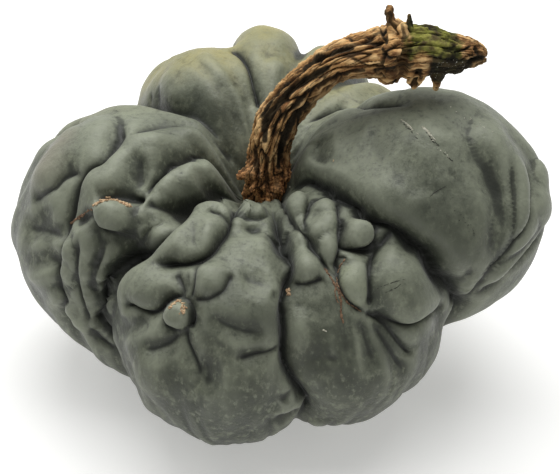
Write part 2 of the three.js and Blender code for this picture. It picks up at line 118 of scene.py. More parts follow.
# Folds pressed into the skin: depth, reach of the puffed sides, picture points along the crease
FOLDS = {
    "front valley": (12, 13, [(270, 203), (273, 215), (277, 230), (284, 252), (288, 270), (288, 290),
        (286, 305), (284, 322), (284, 338), (286, 352), (290, 368), (296, 385), (303, 400), (307, 413)]),
    "left front valley": (12.5, 13, [(245, 192), (230, 190), (218, 193), (208, 198), (196, 204), (184, 211),
        (175, 219), (166, 228), (157, 237), (146, 246), (136, 255), (124, 264), (114, 274), (107, 285),
        (103, 297), (101, 308), (100, 320), (100, 330), (104, 340), (110, 350)]),
    "right front valley": (12.5, 13, [(287, 178), (297, 178), (306, 181), (318, 186), (330, 190),
        (341, 197), (350, 204), (361, 212), (371, 220), (381, 226), (393, 231), (404, 238), (414, 246),
        (424, 252), (431, 260), (437, 270), (444, 280), (452, 288), (457, 296), (459, 306), (457, 316)]),
    "left outer fold": (8, 13, [(117, 116), (120, 124), (119, 134), (114, 144), (106, 152), (98, 159),
        (90, 163), (82, 169), (75, 179), (71, 190), (68, 203), (67, 214), (63, 224), (58, 236), (54, 250),
        (52, 265), (51, 280), (53, 292), (58, 305), (65, 317)]),
    "left rim fold": (4.5, 13, [(126, 138), (134, 129), (144, 123), (156, 120), (170, 119), (184, 120),
        (198, 126)]),
    "left middle fold": (8, 14, [(233, 166), (226, 158), (216, 154), (205, 152), (195, 154), (183, 158),
        (172, 161), (162, 169), (155, 177), (149, 185), (146, 193), (145, 200)]),
    "left upper dent": (3.6, 12, [(142, 148), (139, 165), (136, 182), (132, 198)]),
    "scar shelf": (8, 11, [(95, 200), (103, 196), (113, 194), (122, 196), (131, 198), (146, 200)]),
    "left branch fold": (6, 10, [(146, 203), (154, 206), (162, 207), (172, 208)]),
    "scar tail fold": (4, 7, [(92, 210), (84, 217), (76, 222), (69, 226)]),
    "scar knob ring": (9, 8, [(91, 206), (89, 214), (91, 223), (97, 231), (106, 236), (117, 236),
        (126, 230), (131, 221), (132, 211), (136, 203)]),
    "ridge crossing": (2, 7, [(136, 214), (141, 222), (143, 231)]),
    "ridge crossing two": (1.5, 7, [(150, 208), (154, 216), (158, 225)]),
    "ridge foot": (4, 8, [(112, 238), (122, 238), (130, 233), (134, 226)]),
    "left soft fold": (3, 10, [(178, 196), (181, 188), (180, 179), (187, 171)]),
    "left low fold": (6, 10, [(78, 234), (74, 250), (72, 268), (72, 286), (76, 304), (82, 320), (92, 336),
        (104, 350), (114, 362)]),
    "left low fold two": (5, 10, [(106, 238), (99, 254), (93, 270), (90, 288), (92, 306), (98, 324),
        (106, 340), (114, 352)]),
    "outer crossing": (5, 13, [(80, 171), (70, 172), (60, 178), (52, 187), (44, 191), (28, 203)]),
    "outer low crossing": (4, 13, [(18, 225), (34, 230), (50, 233), (64, 236), (80, 240)]),
    "outer inner line": (3, 11, [(46, 192), (44, 206), (38, 220), (30, 238), (28, 256)]),
    "outer third crossing": (3.5, 13, [(24, 262), (38, 262), (52, 260), (68, 256)]),
    "outer fourth crossing": (3, 13, [(34, 296), (48, 290), (60, 282), (74, 276)]),
    "long bulge fold": (9, 13, [(150, 259), (160, 263), (172, 264), (184, 264), (194, 261), (204, 257),
        (213, 250), (219, 242), (226, 233), (231, 227), (234, 220), (236, 212), (240, 205), (255, 199)]),
    "long bulge top fold": (5, 10, [(205, 205), (214, 208), (222, 212), (230, 219), (234, 224)]),
    "lump fold": (3, 7, [(222, 193), (226, 200), (226, 208)]),
    "lump fold two": (3, 7, [(240, 192), (241, 201)]),
    "long bulge dent": (3.6, 10, [(190, 215), (192, 228), (193, 243), (188, 258)]),
    "small knob floor": (3.0, 6, [(238, 224), (248, 226), (258, 225), (267, 223), (274, 222)]),
    "pit fold": (3.5, 6.5, [(187, 266), (187, 276), (186, 288), (184, 298)]),
    "pit fold left": (4.5, 7, [(174, 270), (179, 280), (182, 290), (184, 299)]),
    "pit fold right": (5, 8, [(197, 261), (194, 272), (193, 284), (190, 296), (186, 301)]),
    "round bulge fold": (8, 13, [(184, 299), (176, 298), (168, 302), (162, 308), (154, 314), (145, 316),
        (136, 314), (128, 309), (122, 305)]),
    "under bulge fold": (3.5, 9, [(164, 318), (154, 318), (145, 320), (136, 324), (120, 330)]),
    "thumb fold": (7, 10, [(176, 299), (184, 302), (189, 309), (191, 317), (190, 324), (186, 330)]),
    "thumb tail fold": (4.8, 10, [(189, 322), (184, 332), (185, 344), (190, 356), (196, 372), (198, 386)]),
    "thumb tip fold": (4.5, 7, [(176, 325), (171, 330), (166, 327), (162, 320)]),
    "low bulge fold": (4.2, 10, [(188, 332), (176, 336), (166, 344), (152, 350), (136, 350)]),
    "side bulge fold": (5, 12, [(188, 299), (198, 300), (208, 299), (217, 295), (225, 289), (234, 270)]),
    "front dent": (3.5, 11, [(238, 262), (246, 277), (258, 282), (270, 286), (281, 293)]),
    "front smile fold": (3.8, 9, [(206, 309), (214, 316), (224, 324), (236, 330), (247, 333), (272, 334)]),
    "front nick": (3, 7, [(268, 293), (276, 296), (284, 301)]),
    "front low fold": (4.8, 11, [(285, 344), (280, 350), (270, 354), (258, 356), (246, 359), (234, 360)]),
    "front low fold two": (4, 9, [(299, 391), (293, 395), (286, 400), (280, 405)]),
    "front belly fold": (3.6, 11, [(196, 352), (203, 366), (206, 382), (204, 400)]),
    "front low fold three": (4, 10, [(306, 417), (296, 414), (286, 417), (276, 422), (268, 427)]),
    "hub ridge fold": (7, 11, [(279, 190), (281, 202), (284, 212), (290, 221), (298, 228), (305, 236),
        (311, 246), (318, 256), (326, 267), (333, 276), (337, 281)]),
    "hub knob fold": (6, 10, [(328, 194), (318, 195), (311, 201), (307, 210), (304, 218), (306, 236)]),
    "finger fold": (7, 10, [(337, 192), (339, 205), (341, 220), (342, 234), (344, 246), (342, 256),
        (338, 266), (336, 276)]),
    "pale knob left fold": (5.5, 8, [(352, 254), (344, 259), (339, 267), (337, 279), (340, 290), (346, 300),
        (354, 307), (362, 312), (368, 314)]),
    "pale knob right fold": (6.5, 10, [(400, 232), (388, 238), (378, 247), (371, 258), (369, 271),
        (370, 285), (371, 298), (371, 311)]),
    "big bulge fold": (7, 13, [(370, 311), (378, 315), (386, 320), (395, 325), (406, 328), (417, 327),
        (428, 322), (437, 317), (446, 308)]),
    "ray fold": (5.5, 11, [(364, 312), (374, 317), (384, 325), (394, 335), (403, 346), (412, 356)]),
    "ray fold two": (4.4, 10, [(370, 316), (380, 332), (389, 346), (398, 360), (406, 374)]),
    "ray fold three": (2.8, 9, [(344, 308), (347, 328), (348, 350), (346, 376)]),
    "ray fold four": (3.8, 9, [(360, 312), (364, 330), (370, 350), (378, 374)]),
    "round knob ring": (8.5, 7.5, [(352, 211), (362, 212), (371, 216), (377, 224), (378, 234), (374, 244),
        (365, 250), (355, 250), (346, 245), (343, 236)]),
    "crack floor": (1.5, 5, [(333, 276), (337, 285), (341, 300), (342, 318)]),
    "lower ridge fold": (5, 10, [(290, 285), (298, 286), (308, 285), (318, 282), (326, 276)]),
    "front right nick": (1.5, 6, [(337, 352), (333, 360), (329, 367)]),
    "right top fold": (6, 13, [(303, 128), (312, 119), (322, 113), (334, 108), (346, 104), (360, 103),
        (374, 102), (388, 101), (400, 101), (412, 104)]),
    "right rib fold": (3.4, 13, [(462, 128), (470, 139), (480, 152), (488, 166), (497, 182), (504, 198),
        (508, 214), (508, 230), (505, 244), (500, 258), (490, 271), (478, 284), (466, 297)]),
    "right rim fold": (7, 12, [(528, 158), (534, 172), (537, 188), (536, 204), (533, 220), (527, 233),
        (519, 244), (509, 258), (498, 270), (488, 281), (478, 292), (470, 302), (460, 311)]),
    "right soft rib": (4.4, 8, [(513, 148), (517, 165), (519, 190), (520, 214), (518, 234), (510, 250),
        (498, 265), (484, 279), (468, 295)]),
    "right soft fold two": (2.6, 16, [(432, 148), (420, 156), (408, 166), (398, 178), (390, 192)]),
    "right shoulder fold": (2, 14, [(398, 176), (412, 178), (424, 186), (432, 200)]),
    "right soft fold three": (2.2, 13, [(362, 112), (352, 126), (346, 142), (343, 160)]),
    "right hub rib": (2.4, 12, [(331, 132), (325, 144), (321, 158), (322, 174)]),
    "right broad rib": (2.2, 17, [(396, 118), (384, 136), (374, 158), (366, 182), (362, 200)]),
    "right low fold": (4, 9, [(457, 292), (464, 284), (473, 276), (480, 266)]),
    "right under rim": (5, 8, [(545, 225), (538, 240), (524, 259), (508, 274), (490, 289), (472, 303)]),
    "right rim line": (3.8, 6, [(541, 222), (532, 240), (518, 256), (502, 270), (486, 284), (468, 300)]),
    "right nick": (1, 5, [(447, 186), (438, 190), (430, 196)]),
    "back middle fold": (7, 13, [(229, 48), (237, 51), (244, 59), (249, 70), (252, 82), (256, 94),
        (259, 108)]),
    "back hump band": (3, 11, [(249, 52), (262, 51), (278, 52), (294, 56)]),
    "back rib": (3, 8, [(146, 92), (149, 103)]),
    "back rib two": (3.5, 9, [(155, 86), (154, 104)]),
}
# Where a fold runs on out of sight: (direction, elevation) pairs
FOLD_TAILS = {
    "front valley": [(277, -52), (282, -75)],
    "left front valley": [(222, -50), (228, -75)],
    "right front valley": [(322, -45), (325, -75)],
    "left outer fold": [(203, -45), (210, -65)],
}

# Valleys of the far side and the underside: depth, reach and (direction, elevation) pairs
FAR_VALLEYS = {
    "left back valley": (10, 20, [(148, 60), (143, 30), (141, 0), (145, -30), (155, -60), (170, -80)]),
    "back pair valley": (8, 14, [(103, 50), (102, 25), (102, 0), (103, -25), (106, -50), (110, -72)]),
    "back shoulder valley": (8, 13, [(76, 54), (78, 25), (78, 0), (77, -25), (74, -50), (68, -72)]),
    "back right valley": (9, 14, [(55, 52), (54, 25), (53, 0), (52, -30), (50, -58), (44, -80)]),
    "right back valley": (10, 18, [(24, 60), (20, 30), (18, 5), (18, -20), (15, -45), (5, -75)]),
}

# Smaller creases of the far side and the underside, drawn by chance: how many, and the limits of their
# direction, elevation, run, sway, depth and reach
HIDDEN_SEED = 11
HIDDEN_CREASES = {
    "lengthwise": (26, (2, 176), (-20, 45), (28, 60), (-5, 5), (2.0, 4.5), (11, 15)),
    "crosswise": (20, (0, 160), (-45, 38), (14, 26), (-7, 7), (1.5, 3.5), (11, 14)),
    "underside": (26, (0, 360), (-48, -40), (12, 26), (-3, 3), (1.5, 3.5), (8, 11)),
}

# Knobs that stand on the skin: picture point, radius, height, and whether the foot is sharp
KNOBS = {
    "scar knob": ((111, 217), 11.5, 3, True),
    "ridge knob": ((145, 220), 9, 5, False),
    "small knob": ((251, 211), 8.5, 5.5, True),
    "thumb": ((178, 313), 8.5, 6, True),
    "side bulge": ((210, 278), 14, 3, False),
    "hub knob": ((297, 199), 12, 4, False),
    "round knob": ((360, 231), 9.5, 2.5, True),
    "pale knob": ((354, 284), 12, 4, False),
    "back bump": ((185, 94), 9, 1.5, False),
    "back bump two": ((214, 92), 9, 1.5, False),
    "back bump three": ((214, 108), 8, 1.5, False),
    "back bump four": ((165, 86), 9, 1.5, False),
    "left bump": ((160, 191), 9, 2, False),
    "left bump two": ((190, 182), 12, 2.5, False),
    "front bump": ((172, 243), 12, 2, False),
    "front bump two": ((203, 239), 9, 2, False),
    "front bump three": ((304, 268), 9, 2, False),
}

# Patches of skin by picture point and radius: the paler skin of the youngest knobs, patches of painted
# shade, and a rosy tinge on the shoulder
YOUNG_SKIN = [((347, 277), 7), ((355, 294), 8), ((179, 308), 5)]
PAINTED_SHADE_PATCHES = [((440, 222), 26), ((462, 248), 20), ((415, 212), 18), ((330, 352), 14), ((268, 318), 14),
             ((228, 292), 14), ((384, 348), 12), ((96, 232), 10), ((205, 112), 20), ((175, 120), 14)]
ROSY_SKIN = [((42, 156), 16), ((56, 138), 12)]

# The side of the fruit towards the back and up, which is painted with a yellow tint and painted lighter as
# painted light
SUN_TINT_AND_LIGHT_SIDE = np.array([0.0, 0.55, 0.835])

# How the fine skin mesh is made
SKIN_CUTS = 127
FRONT_LEAN = 0.3
NORMAL_STEP = 2.0
SINK_STEP = 6.0
SIGHT_HALVINGS = 10
HEART_LEAN = 0.5
WALL_ROUNDS = 12
WALL_SHARE = 0.7
GENTLE_WALL = 0.5
STEEP_WALL = 0.15
FINE_ROUNDS = 3
BROAD_ROUNDS = 26

# How folds and knobs shape the skin; shares are of a fold's length or of a knob's radius
FOLD_SHARPNESS = 3.0
FADE_SHARE = 0.12
SOFT_FADE_SHARE = 0.35
DEPTH_AT_END = 0.15
SOFT_GAIN = 0.75
CREASE_PULL = 0.68
DEPTH_GAIN = 1.45
CREASE_FLOOR = 0.9
CREASE_LINE = 1.9
SOFT_FOLD = 2.5
SHARP_FOLD = 6.0
KNOB_BARE = 0.6
KNOB_EDGE = 0.95
SOFT_KNOB_SPREAD = 1.6

# Uneven swelling of the skin. Lumps have a size and a height; ribs and wrinkles run from top to bottom,
# and their width is given as a number round the fruit.
LUMP_SIZE, LUMP_HEIGHT = 34.0, 2.2
SMALL_LUMP_SIZE, SMALL_LUMP_LENGTH, SMALL_LUMP_HEIGHT = 13.0, 0.6, 0.9
RUN_LENGTH = 7.0
RIBS_ROUND, RIBS_UP, RIB_HEIGHT, RIB_DRIFT = 6.0, 16.0, 2.4, 0.6
WRINKLES_ROUND, WRINKLE_WIDTH = 9.5, 0.32
WRINKLE_DEPTH, UNDER_WRINKLE_DEPTH = 0.15, 0.9
UNDERSIDE = (0.05, -0.45)
LUMP_SHIFT = (1.0, 9.0, 4.0)
LEAST_LEVEL = 0.05

# Where the masks of the skin's colour begin and end: millimetres deep, shares of facing a side,
# millimetres behind the heart, and shares of a patch's radius
CREASE_DEPTHS, CREASE_SHADE, LINE_SHADE = (2.2, 10.0), 0.95, 0.98
SUN_FACING, SUN_BEHIND = (0.0, 0.85), (10.0, 105.0)
# How far the skin must face up to take the painted top light
PAINTED_TOP_LIGHT_FACING = (0.15, 1.0)
YOUNG_FADE, SHADE_PATCH_FADE, ROSY_FADE = (0.75, 1.25), (0.0, 1.6), (0.2, 1.5)


def toward(azimuth, elevation):
    """The unit direction at an azimuth and elevation in degrees."""
    turn, rise = math.radians(azimuth), math.radians(elevation)
    return np.array([math.cos(turn) * math.cos(rise), math.sin(turn) * math.cos(rise), math.sin(rise)])


def unit(rows):
    return rows / np.maximum(np.linalg.norm(rows, axis=-1, keepdims=True), 1e-9)


def smooth_share(value, start, end):
    """0 at start, 1 at end, smooth between them."""
    share = np.clip((value - start) / (end - start), 0.0, 1.0)
    return share * share * (3.0 - 2.0 * share)


# Sight lines

VIEW_BACK = toward(-90, VIEW_ELEVATION)
VIEW_RIGHT = np.array([1.0, 0.0, 0.0])
VIEW_UP = np.cross(VIEW_BACK, VIEW_RIGHT)
VIEW_EYE = VIEW_TARGET + VIEW_BACK * VIEW_DISTANCE


def sight_lines(picture_points):
    """The directions in which the viewpoint sees the picture points."""
    points = np.asarray(picture_points, float).reshape(-1, 2)
    scale = SENSOR_WIDTH / PICTURE_WIDTH / LENS_LENGTH
    across = (points[:, :1] - PICTURE_WIDTH / 2) * scale
    up = (PICTURE_HEIGHT / 2 - points[:, 1:]) * scale
    return unit(across * VIEW_RIGHT + up * VIEW_UP - VIEW_BACK)


# The skin as the farthest reach of a ray from the heart through lobes and sunken balls


def lobe_frames():
    """For each lobe, what turns it into a round ball, and where its middle is then."""
    frames = []
    for azimuth, out, height, half in LOBES.values():
        outward, along, up = toward(azimuth, 0), toward(azimuth + 90, 0), np.array([0.0, 0.0, 1.0])
        to_unit = np.stack([outward / half[0], along / half[1], up / half[2]])
        middle = outward * out + up * (height - HEART[2])
        frames.append((to_unit, to_unit @ middle))
    return frames


LOBE_FRAMES = lobe_frames()
balls = []


def far_crossing(rays, middle, radius):
    """How far each ray from the heart runs before it leaves a ball."""
    a = (rays * rays).sum(-1)
    b = rays @ middle
    inside = b * b - a * (middle @ middle - radius * radius)
    return np.where(inside > 0, (b + np.sqrt(np.maximum(inside, 0))) / a, 0.0)


def smooth_most(reaches, blend):
    """The largest of several reaches, rounded where two of them meet."""
    most = reaches.max(0)
    return most + blend * np.log(np.exp((reaches - most) / blend).sum(0))


def skin_radius(directions):
    """How far the skin is from the heart, before folds and knobs."""
    lobes = [far_crossing(directions @ to_unit.T, middle, 1.0) for to_unit, middle in LOBE_FRAMES]
    reach = smooth_most(np.stack(lobes), LOBE_BLEND)
    if balls:
        bulges = [far_crossing(directions, middle, radius) for middle, radius in balls]
        reach = smooth_most(np.stack([reach, *bulges]), BULGE_BLEND)
    return reach


def clearance(points):
    """Height of points above the skin, measured away from the heart."""
    rays = points - HEART
    far = np.maximum(np.linalg.norm(rays, axis=-1), 1e-6)
    return far - skin_radius(rays / far[..., None])


def outward_normals(points, step):
    slopes = []
    for axis in np.eye(3) * step:
        slopes.append(clearance(points + axis) - clearance(points - axis))
    return unit(np.stack(slopes, -1))


def on_skin(picture_points):
    """Where the sight line through each picture point first meets the skin; a miss is left out."""
    lines = sight_lines(picture_points)
    hit = np.full(len(lines), np.nan)
    for distance in np.arange(NEAREST_SKIN, FARTHEST_SKIN, SIGHT_STEP):
        waiting = np.where(np.isnan(hit))[0]
        if not len(waiting):
            break
        inside = clearance(VIEW_EYE + lines[waiting] * distance) < 0
        hit[waiting[inside]] = distance
    lines, hit = lines[~np.isnan(hit)], hit[~np.isnan(hit)]
    near, far = hit - SIGHT_STEP, hit.copy()
    for _ in range(SIGHT_HALVINGS):
        middle = (near + far) / 2
        inside = clearance(VIEW_EYE + lines * middle[:, None]) < 0
        far = np.where(inside, middle, far)
        near = np.where(inside, near, middle)
    return VIEW_EYE + lines * far[:, None]


def in_directions(pairs):
    """Where rays from the heart at these directions and elevations meet the skin."""
    rays = np.array([toward(*pair) for pair in pairs])
    return HEART + rays * skin_radius(rays)[:, None]


def sink_balls(swells):
    """Balls under the skin as it is so far, which lift it where they come through."""
    sunken = []
    for picture_points, radius, lift in swells.values():
        feet = on_skin(picture_points)
        middles = feet + outward_normals(feet, SINK_STEP) * (lift - radius) - HEART
        sunken += [(middle, radius) for middle in middles]
    return sunken


for swells in (BULGES, KNOB_BALLS):
    balls += sink_balls(swells)


# Folds, knobs and lumps


def smooth_line(points, steps=3):
    """A smooth curve through the points."""
    points = np.asarray(points, float)
    if len(points) < 3:
        return points
    ends = np.vstack([2 * points[0] - points[1], points, 2 * points[-1] - points[-2]])
    line = []
    for a, b, c, d in zip(ends[:-3], ends[1:-2], ends[2:-1], ends[3:]):
        for t in np.arange(steps) / steps:
            cubic = (3 * b - a - 3 * c + d) * t ** 3
            line.append(0.5 * (2 * b + (c - a) * t + (2 * a - 5 * b + 4 * c - d) * t * t + cubic))
    line.append(points[-1])
    return np.array(line)


def fold_lines():
    """Depth, reach and line in space of every fold, valley and crease."""
    lines = []
    for name, (depth, reach, picture_points) in FOLDS.items():
        points = on_skin(picture_points)
        if name in FOLD_TAILS:
            points = np.vstack([points, in_directions(FOLD_TAILS[name])])
        lines.append((depth, reach, smooth_line(points)))
    for depth, reach, pairs in [*FAR_VALLEYS.values(), *hidden_creases()]:
        lines.append((depth, reach, smooth_line(in_directions(pairs))))
    return lines


def hidden_creases():
    """Creases that no picture shows, in the same manner as the ones in sight."""
    chance = random.Random(HIDDEN_SEED)
    quarters, thirds = (0, 0.25, 0.5, 0.75, 1), (0, 0.33, 0.67, 1)
    creases = []
    for kind, (count, around, level, span, sways, depths, reaches) in HIDDEN_CREASES.items():
        for _ in range(count):
            azimuth, top, run = [chance.uniform(*limits) for limits in (around, level, span)]
            if kind == "underside":
                pairs = [(azimuth + chance.uniform(*sways), top - run * t) for t in thirds]
            else:
                sway = chance.uniform(*sways)
                if kind == "lengthwise":
                    pairs = [(azimuth + sway * math.sin(3 * t), top - run * t) for t in quarters]
                else:
                    pairs = [(azimuth + run * t, top + sway * t * t) for t in thirds]
            creases.append((chance.uniform(*depths), chance.uniform(*reaches), pairs))
    return creases


def nearest_on_line(points, line):
    """Nearest point of a line to each point, how far it is, and how far along the line it lies."""
    lengths = np.linalg.norm(np.diff(line, axis=0), axis=1)
    far = np.full(len(points), np.inf)
    along = np.zeros(len(points))
    foot = np.zeros_like(points)
    passed = 0.0
    for start, end, length in zip(line[:-1], line[1:], lengths):
        piece = end - start
        share = np.clip(((points - start) @ piece) / max(length * length, 1e-9), 0, 1)
        spot = start + share[:, None] * piece
        away = np.linalg.norm(points - spot, axis=1)
        closer = away < far
        far = np.where(closer, away, far)
        foot = np.where(closer[:, None], spot, foot)
        along = np.where(closer, passed + share * length, along)
        passed += length
    return foot, far, along / max(passed, 1e-9)


def press_folds(skin):
    """How deep the folds press each point, how far it is pulled sideways into its nearest crease, and
    how near the bottom of a sharp one it lies."""
    pressed = np.zeros(len(skin))
    strongest = np.zeros(len(skin))
    bottom = np.zeros(len(skin))
    pull = np.zeros_like(skin)
    for depth, reach, line in fold_lines():
        low, high = line.min(0) - reach, line.max(0) + reach
        near = np.where(np.all((skin > low) & (skin < high), axis=1))[0]
        if not len(near):
            continue
        foot, far, along = nearest_on_line(skin[near], line)
        share = np.clip(np.hypot(far, CREASE_FLOOR) / reach, 0, 1)
        sharp = float(smooth_share(depth, SOFT_FOLD, SHARP_FOLD))
        cushion = sharp * (1 - np.sqrt(np.maximum(2 * share - share * share, 0)))
        cushion += (1 - sharp) * SOFT_GAIN * (1 - share * share) ** 2
        fade = smooth_share(np.minimum(along, 1 - along), 0, FADE_SHARE + (1 - sharp) * SOFT_FADE_SHARE)
        deep = DEPTH_GAIN * depth * cushion * (DEPTH_AT_END + (1 - DEPTH_AT_END) * fade)
        pressed[near] += deep ** FOLD_SHARPNESS
        bottom[near] = np.maximum(bottom[near], sharp * fade * np.exp(-(far / CREASE_LINE) ** 2))
        sideways = (foot - skin[near]) * (CREASE_PULL * sharp * (1 - share) ** 2 * fade)[:, None]
        stronger = deep > strongest[near]
        pull[near[stronger]] = sideways[stronger]
        strongest[near[stronger]] = deep[stronger]
    return pressed ** (1 / FOLD_SHARPNESS), pull, bottom


def raise_knobs(skin):
    """How far the knobs lift each point, and how much of the folds is left there."""
    rise, bare = np.zeros(len(skin)), np.ones(len(skin))
    for picture_point, radius, height, sharp in KNOBS.values():
        away = np.linalg.norm(skin - on_skin([picture_point])[0], axis=1)
        if sharp:
            share = np.clip(away / radius, 0, 1)
            rise += height * np.sqrt(1 - share * share)
            bare *= smooth_share(away, KNOB_BARE * radius, KNOB_EDGE * radius)
        else:
            share = np.clip(away / (SOFT_KNOB_SPREAD * radius), 0, 1)
            rise += height * (1 - share * share) ** 2
    return rise, bare


def patches_on(skin, patches, start, end):
    """A share that is 1 inside the patches and fades between two shares of their radius."""
    share = np.zeros(len(skin))
    for picture_point, radius in patches:
        away = np.linalg.norm(skin - on_skin([picture_point])[0], axis=1)
        share = np.maximum(share, smooth_share(away, end * radius, start * radius))
    return share


def lumps(points):
    """Uneven swelling of the skin: soft lumps and ribs, and wrinkles that run down to the underside."""
    heights = np.empty(len(points))
    rays = unit(points - HEART)
    under = smooth_share(rays[:, 2], *UNDERSIDE)
    for i, (point, ray) in enumerate(zip(points, rays)):
        place = Vector(point)
        wide = noise.noise(place / LUMP_SIZE)
        level = max(math.hypot(ray[0], ray[1]), LEAST_LEVEL)
        run = Vector((ray[0] / level, ray[1] / level, ray[2] / RUN_LENGTH))
        drift = Vector((wide, wide, 0.0))
        rib_place = Vector((run.x * RIBS_ROUND, run.y * RIBS_ROUND, run.z * RIBS_UP))
        ribs = noise.noise(rib_place + drift * RIB_DRIFT)
        lump_place = Vector((place.x, place.y, SMALL_LUMP_LENGTH * place.z)) / SMALL_LUMP_SIZE
        small = noise.noise(lump_place + Vector(LUMP_SHIFT))
        wrinkle = max(0.0, 1.0 - abs(noise.noise(run * WRINKLES_ROUND + drift)) / WRINKLE_WIDTH)
        depth = WRINKLE_DEPTH + UNDER_WRINKLE_DEPTH * under[i]
        heights[i] = LUMP_HEIGHT * wide + RIB_HEIGHT * ribs + SMALL_LUMP_HEIGHT * small - depth * wrinkle
    return heights


class Net:
    """The corners, edges and faces of a mesh as arrays, for sums over neighbours."""

    def __init__(self, shape):
        self.edges = np.array([[vert.index for vert in edge.verts] for edge in shape.edges])
        self.faces = np.array([[vert.index for vert in face.verts] for face in shape.faces])
        self.count = len(shape.verts)
        self.ends = np.bincount(self.edges.ravel(), minlength=self.count)[:, None]

    def neighbour_mean(self, values):
        total = np.zeros((self.count, values.shape[1]))
        for column in range(values.shape[1]):
            for here, there in ((0, 1), (1, 0)):
                total[:, column] += np.bincount(
                    self.edges[:, here], values[self.edges[:, there], column], self.count)
        return total / self.ends

    def normals(self, places):
        corners = places[self.faces]
        across = np.cross(corners[:, 2] - corners[:, 0], corners[:, 3] - corners[:, 1])
        total = np.zeros((self.count, 3))
        for corner in range(4):
            for column in range(3):
                total[:, column] += np.bincount(self.faces[:, corner], across[:, column], self.count)
        return unit(total)


def even_walls(net, skin):
    """Smooths the corners that stand on steep walls, seen from the heart."""
    for _ in range(WALL_ROUNDS):
        facing = (net.normals(skin) * unit(skin - HEART)).sum(-1)
        share = WALL_SHARE * (1 - smooth_share(facing, STEEP_WALL, GENTLE_WALL))
        skin = skin + (net.neighbour_mean(skin) - skin) * share[:, None]
    return skin


def swelling(net, skin, rounds):
    """How far each corner stands out of its smoothed surroundings, in millimetres."""
    smooth = skin
    for _ in range(rounds):
        smooth = net.neighbour_mean(smooth)
    return ((skin - smooth) * net.normals(smooth)).sum(-1)


def grow_skin(ball):
    """Moves the corners of a ball's mesh onto the skin and returns the masks that its colour needs."""
    directions = unit(np.array([vert.co[:] for vert in ball.verts]))
    skin = HEART + directions * skin_radius(directions)[:, None]
    outward = unit(outward_normals(skin, NORMAL_STEP) + HEART_LEAN * directions)
    pressed, pull, bottom = press_folds(skin)
    rise, bare = raise_knobs(skin)
    height = rise + lumps(skin) - pressed * bare
    skin = skin + outward * height[:, None] + pull * bare[:, None]
    net = Net(ball)
    skin = even_walls(net, skin)
    skin[:, 2] = np.maximum(skin[:, 2], 0.0)
    for vert, place in zip(ball.verts, skin * MM):
        vert.co = place
    facing = net.normals(skin)
    shaded = CREASE_SHADE * smooth_share(pressed * bare, *CREASE_DEPTHS)
    return {
        "crease": np.maximum(shaded, LINE_SHADE * bottom * bare),
        # how far the skin stands out or sinks in: painted highlights on swellings and ridges, painted shade
        # in hollows and fine creases
        "fine_swell": swelling(net, skin, FINE_ROUNDS),
        "broad_swell": swelling(net, skin, BROAD_ROUNDS),
        # yellow tint and painted light on the back and top side
        "sun_tint_and_light": smooth_share(facing @ SUN_TINT_AND_LIGHT_SIDE, *SUN_FACING) * smooth_share(skin[:, 1], *SUN_BEHIND),
        # painted top light: how far the skin faces up, for the lit coat
        "upward": smooth_share(facing[:, 2], *PAINTED_TOP_LIGHT_FACING),
        "young": patches_on(skin, YOUNG_SKIN, *YOUNG_FADE),
        "shade_patches": patches_on(skin, PAINTED_SHADE_PATCHES, *SHADE_PATCH_FADE),
        "rosy": patches_on(skin, ROSY_SKIN, *ROSY_FADE),
    }


def mask(piece, name, values):
    """Stores a number for each corner of a piece, for its finish to read."""
    layer = piece.data.attributes.new(name, "FLOAT", "POINT")
    layer.data.foreach_set("value", np.asarray(values, np.float32))


def piece_from(shape, name, material):
    mesh = bpy.data.meshes.new(name)
    shape.to_mesh(mesh)
    shape.free()
    mesh.shade_smooth()
    mesh.materials.append(material)
    piece = bpy.data.objects.new(name, mesh)
    bpy.context.scene.collection.objects.link(piece)
    return piece


# Finishes


